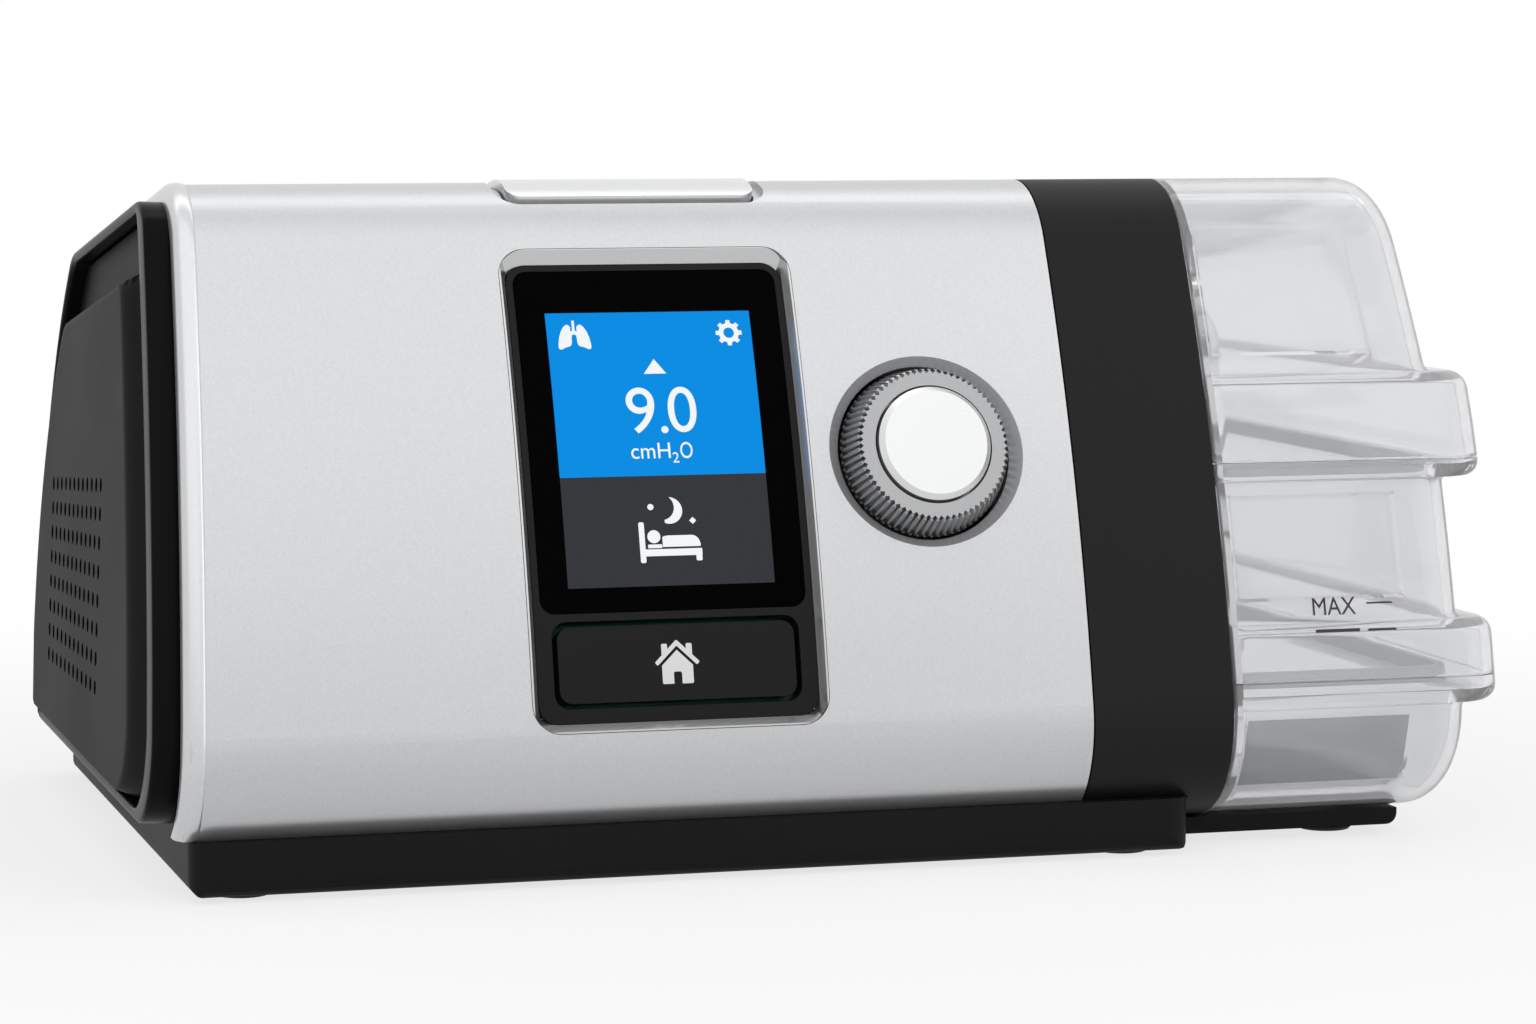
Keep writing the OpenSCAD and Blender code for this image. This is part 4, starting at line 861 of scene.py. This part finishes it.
# How far in the columns at the left and the right end reach, and the spans between these
LEFT_IN, RIGHT_IN, SPANS = 2.6, 5.0, 7

# Painted shade on the clear plastic where it turns away from the view: the blend of its facing, the facing where
# this painted shade starts and stops, and its tone
SHADE_TURN_BLEND, SHADE_TURN_FROM, SHADE_TURN_TO = 0.25, 0.42, 0.74
PAINTED_TURN_SHADE = (0.05, 0.052, 0.056, 1)
# Clearness of the foot window, which carries painted shade, and of the duct
FOOT_SHADE_CLEARNESS, DUCT_CLEARNESS = 0.6, 0.95
# The word by the fill mark: its width and height, and its middle across and in height
MAX_SIZE, MAX_X, MAX_Z = (7.4, 2.8), 183.5, 37.6
# The lines by the fill mark: ends, height, lift off the front, and thickness
FILL_LINES = (
    (189.1, 193.6, 37.9, PRINT_LIFT, 0.28), (179.7, 187.3, 33.7, 0.82, 0.5), (188.7, 193.6, 33.65, 0.82, 0.36)
)


def tub_profile(inset):
    """The tub's right side from the foot up: height, reach and share of the ledge."""
    steps = 5
    wall = TUB_END - inset
    rows = [(LOW_C.y, wall, 0.0)]

    def bend(x, z, r, a0, a1, base, reach):
        for k in range(steps + 1):
            a = math.radians(a0 + (a1 - a0) * k / steps)
            px, pz = x + r * math.cos(a), z + r * math.sin(a)
            rows.append((max(pz, rows[-1][0] + 0.03), px, (px - base) / (reach - base)))

    for low, high, end in LEDGES:
        low, high, reach = low + inset, high - inset, end - inset
        f, r = LEDGE_FILLET + inset, LEDGE_ROUND - inset
        bend(wall + f, low - f, f, 180, 90, wall, reach)
        bend(reach - r, low + r, r, -90, 0, wall, reach)
        middle = (low + high) / 2
        rows.append((middle, reach, 1.0))
        bend(reach - r, high - r, r, 0, 90, wall, reach)
        bend(wall + f, high + f, f, 270, 180, wall, reach)
    marks = [ROWS_TOP] + [z for low, high in WINDOWS for z in (low, low + WINDOW_EDGE, high - WINDOW_EDGE, high)]
    for z in marks + MORE_HEIGHTS:
        if rows[0][0] < z <= ROWS_TOP:
            rows.append((z, wall, 0.0))
    rows.sort()
    return [(z, x - LID_LEAN * max(0.0, z - LEAN_FROM), share) for z, x, share in rows]


def ramp(value, edge):
    return max(0.0, min(1.0, value / edge))


def tub_solid(name, inset):
    """The closed form of the tub with its ledges and recessed windows, drawn in by inset."""
    rows = tub_profile(inset)
    heights = [z for z, x, share in rows]
    r = TUB_R - inset
    x0 = TUB_X + inset
    count = len(side_ring(0, heights))
    first_back = count - HEEL_STEPS - 1 - (len(rows) - 1)
    front_end = LOW_STEPS + len(rows) + 1 + NOSE_STEPS // 2

    def row_of(k):
        """The row of the profile that the outline's point k lies on, if any."""
        if LOW_STEPS <= k < LOW_STEPS + len(rows):
            return k - LOW_STEPS
        if first_back <= k < first_back + len(rows) - 1:
            return len(rows) - 2 - (k - first_back)
        return None

    # Columns from the left end: place from the left or the right, inward draw, share of ledge and window
    plain = inset > 0
    columns = [("left", 0.0, 0.3, 0.0, 0), ("left", 0.3, 0.0, 0.3, 0), ("left", 1.6, 0.0, 0.9, 0)]
    columns += [("left", 2.1, 0.0, 1.0, 1), ("left", LEFT_IN, 0.0, 1.0, 1)]
    columns += [("mix", k / SPANS, 0.0, 1.0, 1) for k in range(1, SPANS)]
    columns += [("right", RIGHT_IN, 0.0, 1.0, 1), ("right", 4.5, 0.0, 1.0, 0), ("right", 2.0, 0.0, 1.0, 0)]
    if plain:
        columns = [("left", 0.0, 0.0, 1.0, 0)] + [("mix", k / SPANS, 0.0, 1.0, 0) for k in range(1, SPANS)]
    columns += [("turn", 10.0 * k, 0.0, 1.0, 0) for k in range(10)]

    mesh = bmesh.new()
    rings = []
    for kind, value, draw, ledge, window in columns:
        angle = math.radians(value) if kind == "turn" else 0.0
        d = inset + draw + r * (1 - math.cos(angle))
        ring = []
        for k, point in enumerate(side_ring(d, heights)):
            row = row_of(k)
            z, reach, share = rows[row] if row is not None else (point.y, None, 0.0)
            if reach is None:
                reach = TUB_END - inset - LID_LEAN * max(0.0, z - LEAN_FROM)
            if kind == "left":
                x = x0 + value
            elif kind == "mix":
                x = x0 + LEFT_IN + (reach - r - RIGHT_IN - x0 - LEFT_IN) * value
            elif kind == "right":
                x = reach - r - value
            else:
                x = reach - r + r * math.sin(angle)
            push = 0.0
            if k < front_end:
                push = -LEDGE_PROUD * share * ledge
                if window and not plain:
                    push += WINDOW_DEPTH * max(
                        min(ramp(z - low, WINDOW_EDGE), ramp(high - z, WINDOW_EDGE)) for low, high in WINDOWS
                    )
            ring.append(mesh.verts.new(at(x, point.x + push, z)))
        rings.append(ring)
    foot_low, foot_high = WINDOWS[0]
    for left, right, column, after in zip(rings, rings[1:], columns, columns[1:]):
        in_window = column[4] and after[4]
        for k in range(count):
            face = mesh.faces.new((left[k], left[(k + 1) % count], right[(k + 1) % count], right[k]))
            z = (face.calc_center_median().z - at(0, 0, 0).z) / MM
            # Faces of the foot's window take the second material, the one with painted shade
            if in_window and not plain and k < front_end and foot_low < z < foot_high:
                face.material_index = 1
    mesh.faces.new(rings[0])
    last = rings[-1]
    front = [last[LOW_STEPS + k] for k in range(len(rows))]
    back = [last[first_back + len(rows) - 2 - k] for k in range(len(rows) - 1)] + [last[first_back - 1]]
    for k in range(len(rows) - 1):
        mesh.faces.new((front[k], front[k + 1], back[k + 1], back[k]))
    mesh.faces.new(last[LOW_STEPS + len(rows) - 1:first_back])
    mesh.faces.new(last[first_back + len(rows) - 2:] + last[:LOW_STEPS + 1])
    bmesh.ops.recalc_face_normals(mesh, faces=mesh.faces)
    return from_bmesh(mesh, name)


def from_bmesh(mesh, name):
    data = bpy.data.meshes.new(name)
    mesh.to_mesh(data)
    mesh.free()
    obj = bpy.data.objects.new(name, data)
    bpy.context.scene.collection.objects.link(obj)
    return obj


def block(x0, x1, y0, y1, z0, z1):
    """A box as a cutting shape."""
    deselect()
    low, high = at(x0, y0, z0), at(x1, y1, z1)
    bpy.ops.mesh.primitive_cube_add(size=1, location=(low + high) / 2)
    bpy.context.object.scale = high - low
    bpy.ops.object.transform_apply(location=True, rotation=True, scale=True)
    return bpy.context.object


def rod(x0, x1, y, z, r):
    """A cylinder along X."""
    deselect()
    bpy.ops.mesh.primitive_cylinder_add(
        vertices=48, radius=r * MM, depth=(x1 - x0) * MM, location=at((x0 + x1) / 2, y, z), rotation=(0, math.pi / 2, 0)
    )
    bpy.ops.object.transform_apply(location=True, rotation=True, scale=True)
    return bpy.context.object


def combine(obj, operation, *tools):
    """Adds, cuts or keeps by the tools, which are used up."""
    for tool in tools:
        apply_modifier(obj, "BOOLEAN", operation=operation, object=tool, solver="EXACT")
        bpy.data.objects.remove(tool)
    return obj


def copied(obj, name):
    twin = bpy.data.objects.new(name, obj.data.copy())
    bpy.context.scene.collection.objects.link(twin)
    return twin


def smoothed(obj, degrees):
    select(obj)
    bpy.ops.object.shade_smooth_by_angle(angle=math.radians(degrees))
    return obj


def clear_plastic(name, tint, roughness, clearness):
    """Slightly milky clear plastic with faint flow marks, and painted shade where it turns away from the view."""
    material = finish(
        name, tint, roughness, 6.0, 0.004, 0.0, 0.01, 0.015, transmission_weight=clearness, ior=1.45
    )
    tree = material.node_tree
    shader = node_of(tree, "BSDF_PRINCIPLED")
    # Painted shade: the colour is darkened where the surface turns away from the view, standing in for the dark edges
    # of clear plastic
    shade_facing = add_node(tree, "LayerWeight", {"Blend": SHADE_TURN_BLEND}).outputs["Facing"]
    edge = add_node(tree, "MapRange", {"Value": shade_facing, "From Min": SHADE_TURN_FROM, "From Max": SHADE_TURN_TO})
    flat = shader.inputs["Base Color"].links[0].from_socket
    tone = blend_colours(tree, edge.outputs["Result"], flat, PAINTED_TURN_SHADE, "MULTIPLY")
    set_inputs(tree, shader, {"Base Color": tone})
    return material


class BREATHING_OT_tub(bpy.types.Operator):
    """Build the clear water tub and print its fill marks"""

    bl_idname = "breathing.tub"
    bl_label = "Build water tub"

    def execute(self, context):
        p = look(context, "tub")
        clear = clear_plastic("Clear plastic", p.tint, p.roughness, p.clearness)
        # The foot's window is painted darker, as painted shade for the dark inside seen through it
        foot_shade = clear_plastic("Smoky window", p.foot_window_shade, p.roughness, FOOT_SHADE_CLEARNESS)
        self.build_shells(clear, foot_shade)
        dress(clear_plastic("Clear duct", p.tint, p.roughness + 0.05, DUCT_CLEARNESS), "lid_duct")
        ink = finish("Black ink", (0.01, 0.01, 0.01), 0.5, 0.2, 0.001)
        marks = [wrap(flat_text("MAX", *MAX_SIZE), MAX_X, bow_s(MAX_Z), PRINT_LIFT, PRINT_T)]
        for x0, x1, z, w, t in FILL_LINES:
            half = (x1 - x0) / 2
            line = flat_shape([rounded(-half, half, -t / 2, t / 2, 0.08, 2)])
            marks.append(wrap(line, (x0 + x1) / 2, bow_s(z), w, PRINT_T))
        fixed_to(paint(join(marks, "fill_marks"), ink), "tub")
        return {"FINISHED"}

    @staticmethod
    def build_shells(clear, foot_shade):
        """The lid, the middle and the foot, cut from one hollow form."""
        hollow = combine(tub_solid("tub", 0.0), "DIFFERENCE", tub_solid("hollow", TUB_WALL))
        hinge_y = on_back(LID_Z, 0).x + HINGE_R + HINGE_GAP

        def knuckle(x0, x1, z0):
            return rod(x0, x1, hinge_y, LID_Z, HINGE_R), block(x0, x1, hinge_y - 6, hinge_y, z0, z0 + ARM_T)

        lid = combine(copied(hollow, "clear_lid"), "INTERSECT", block(*CUT_SPAN, LID_Z + SEAM / 2, 120))
        body = combine(
            copied(hollow, "clear_body"), "INTERSECT", block(*CUT_SPAN, FOOT_Z + FOOT_SEAM / 2, LID_Z - SEAM / 2)
        )
        foot = combine(hollow, "INTERSECT", block(*CUT_SPAN, -5, FOOT_Z - FOOT_SEAM / 2))
        foot.name = foot.data.name = "clear_foot"
        for x in HINGES:
            combine(lid, "UNION", *knuckle(x + 2 + SEAM, x + 6, LID_Z + SEAM / 2))
            for x0, x1 in ((x, x + 2), (x + 6 + SEAM, x + 8)):
                combine(body, "UNION", *knuckle(x0, x1, LID_Z - SEAM / 2 - ARM_T))
        for piece in (lid, body):
            combine(piece, "DIFFERENCE", rod(TUB_X, TUB_END, hinge_y, LID_Z, PIN_R))
        combine(lid, "DIFFERENCE", *[rod(TUB_X - 1, TUB_X + 5, y, PORT_Z, PORT_R) for y in PORTS])
        combine(foot, "DIFFERENCE", block(TUB_X + 8, TUB_END - 8, *HEATER_Y, -5, 12))
        for piece, body_name, node in ((lid, "lid", "tub_lid"), (body, "tub", "tub_body"), (foot, "tub", "tub_foot")):
            for material in (clear, foot_shade):
                piece.data.materials.append(material)
            smoothed(piece, 32)
            fixed_to(piece, body_name)
            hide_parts(node)


# The studio, in millimetres: each lamp's place, what it points at and its size in metres

LAMPS = {
    "Key": ((-180, -620, 900), (90, 40, 60), (1.7, 1.3)),
    "Fill": ((800, -520, 420), (120, 40, 50), (0.6, 0.8)),
    "Strip": ((130, 330, 820), (90, 20, 100), (1.3, 0.16)),
}
CAMERA_PLACE, CAMERA_PITCH, CAMERA_YAW = (-103.16, -659.68, 120.44), -5.42, -16.26

# The floor fades to plain white between these distances in metres, from this share of white,
# and shows in reflections by this share
FADE_FROM, FADE_TO, FADE_START, FLOOR_IN_GLOSS = 0.12, 0.34, 0.75, 0.85


def seen_rays(tree, in_gloss=1.0):
    """One for what the camera sees, straight or through glass, and in_gloss for reflections."""
    path = add_node(tree, "LightPath")
    gloss = add_node(tree, "Math", {0: path.outputs["Is Glossy Ray"], 1: in_gloss}, operation="MULTIPLY")
    total = path.outputs["Is Camera Ray"]
    for extra in (path.outputs["Is Transmission Ray"], gloss.outputs[0]):
        total = add_node(tree, "Math", {0: total, 1: extra}, operation="MAXIMUM").outputs[0]
    return total


class BREATHING_OT_stage(bpy.types.Operator):
    """Set up the floor, the studio light and the camera"""

    bl_idname = "breathing.stage"
    bl_label = "Set up studio"

    def execute(self, context):
        p = look(context, "stage")
        self.build_floor(p)
        self.build_world(p)
        for name, (place, target, size) in LAMPS.items():
            deselect()
            bpy.ops.object.light_add(type="AREA", location=at(*place))
            lamp = context.object
            lamp.name = name
            lamp.rotation_euler = (at(*target) - at(*place)).to_track_quat("-Z", "Y").to_euler()
            lamp.data.shape = "RECTANGLE"
            lamp.data.size, lamp.data.size_y = size
            lamp.data.energy = getattr(p, name.lower())
        deselect()
        bpy.ops.object.camera_add(
            location=at(*CAMERA_PLACE), rotation=(math.radians(90 + CAMERA_PITCH), 0, math.radians(CAMERA_YAW))
        )
        camera = context.object
        camera.name = "Camera"
        camera.data.lens = p.lens
        camera.data.sensor_width = 36
        camera.data.clip_end = 20
        context.scene.camera = camera
        context.scene.view_settings.view_transform = "Standard"
        return {"FINISHED"}

    @staticmethod
    def build_floor(p):
        """A pale floor: white far off, with the object's shadow where it stands."""
        deselect()
        bpy.ops.mesh.primitive_plane_add(size=8, location=(0, 0, 0))
        floor = bpy.context.object
        floor.name = "Floor"
        material, tree, shader = new_material("Pale floor")
        set_inputs(tree, shader, {"Base Color": scaled(p.floor, 1), "Roughness": 0.8, "Specular IOR Level": 0.0})
        place = add_node(tree, "TexCoord").outputs["Object"]
        away = add_node(tree, "VectorMath", {0: place}, operation="LENGTH")
        fade = add_node(tree, "MapRange", {
            "Value": away.outputs["Value"], "From Min": FADE_FROM, "From Max": FADE_TO,
            "To Min": FADE_START, "To Max": 1.0,
        }, interpolation_type="SMOOTHSTEP")
        seen = seen_rays(tree, FLOOR_IN_GLOSS)
        share = add_node(tree, "Math", {0: seen, 1: fade.outputs["Result"]}, operation="MULTIPLY")
        glow = add_node(tree, "Emission", {"Strength": 1.0})
        mix = add_node(tree, "MixShader", {0: share.outputs[0], 1: shader.outputs["BSDF"], 2: glow.outputs["Emission"]})
        set_inputs(tree, node_of(tree, "OUTPUT_MATERIAL"), {"Surface": mix.outputs["Shader"]})
        floor.data.materials.append(material)

    @staticmethod
    def build_world(p):
        """Soft light from all round, seen by the camera and in reflections as plain white."""
        world = bpy.data.worlds.new("Studio")
        bpy.context.scene.world = world
        world.use_nodes = True
        tree = world.node_tree
        tree.nodes.clear()
        soft, white = (
            add_node(tree, "Background", {"Color": (1, 1, 1, 1), "Strength": strength}) for strength in (p.ambient, 1.0)
        )
        mix = add_node(tree, "MixShader", {0: seen_rays(tree), 1: soft.outputs[0], 2: white.outputs[0]})
        add_node(tree, "OutputWorld", {"Surface": mix.outputs[0]})


OPERATORS = (BREATHING_OT_housing, BREATHING_OT_side, BREATHING_OT_screen, BREATHING_OT_tub, BREATHING_OT_stage)


class BREATHING_PT_panel(bpy.types.Panel):
    """Steps and settings of the breathing machine"""

    bl_label = "Breathing Machine"
    bl_space_type = "VIEW_3D"
    bl_region_type = "UI"
    bl_category = "Breathing Machine"

    def draw(self, context):
        for operator in OPERATORS:
            self.layout.operator(operator.bl_idname)
        for name, group in LOOKS.items():
            box = self.layout.box()
            box.label(text=name.title())
            for label in group.__annotations__:
                box.prop(look(context, name), label)


CLASSES = tuple(LOOKS.values()) + OPERATORS + (BREATHING_PT_panel,)


def register():
    for cls in CLASSES:
        bpy.utils.register_class(cls)
    for name, group in LOOKS.items():
        setattr(bpy.types.Scene, "breathing_" + name, bpy.props.PointerProperty(type=group))


def unregister():
    for name in LOOKS:
        delattr(bpy.types.Scene, "breathing_" + name)
    for cls in reversed(CLASSES):
        bpy.utils.unregister_class(cls)


def main():
    register()
    bpy.ops.breathing.housing()
    bpy.ops.breathing.side()
    bpy.ops.breathing.screen()
    bpy.ops.breathing.tub()
    bpy.ops.breathing.stage()
    deselect()


if __name__ == "__main__":
    main()
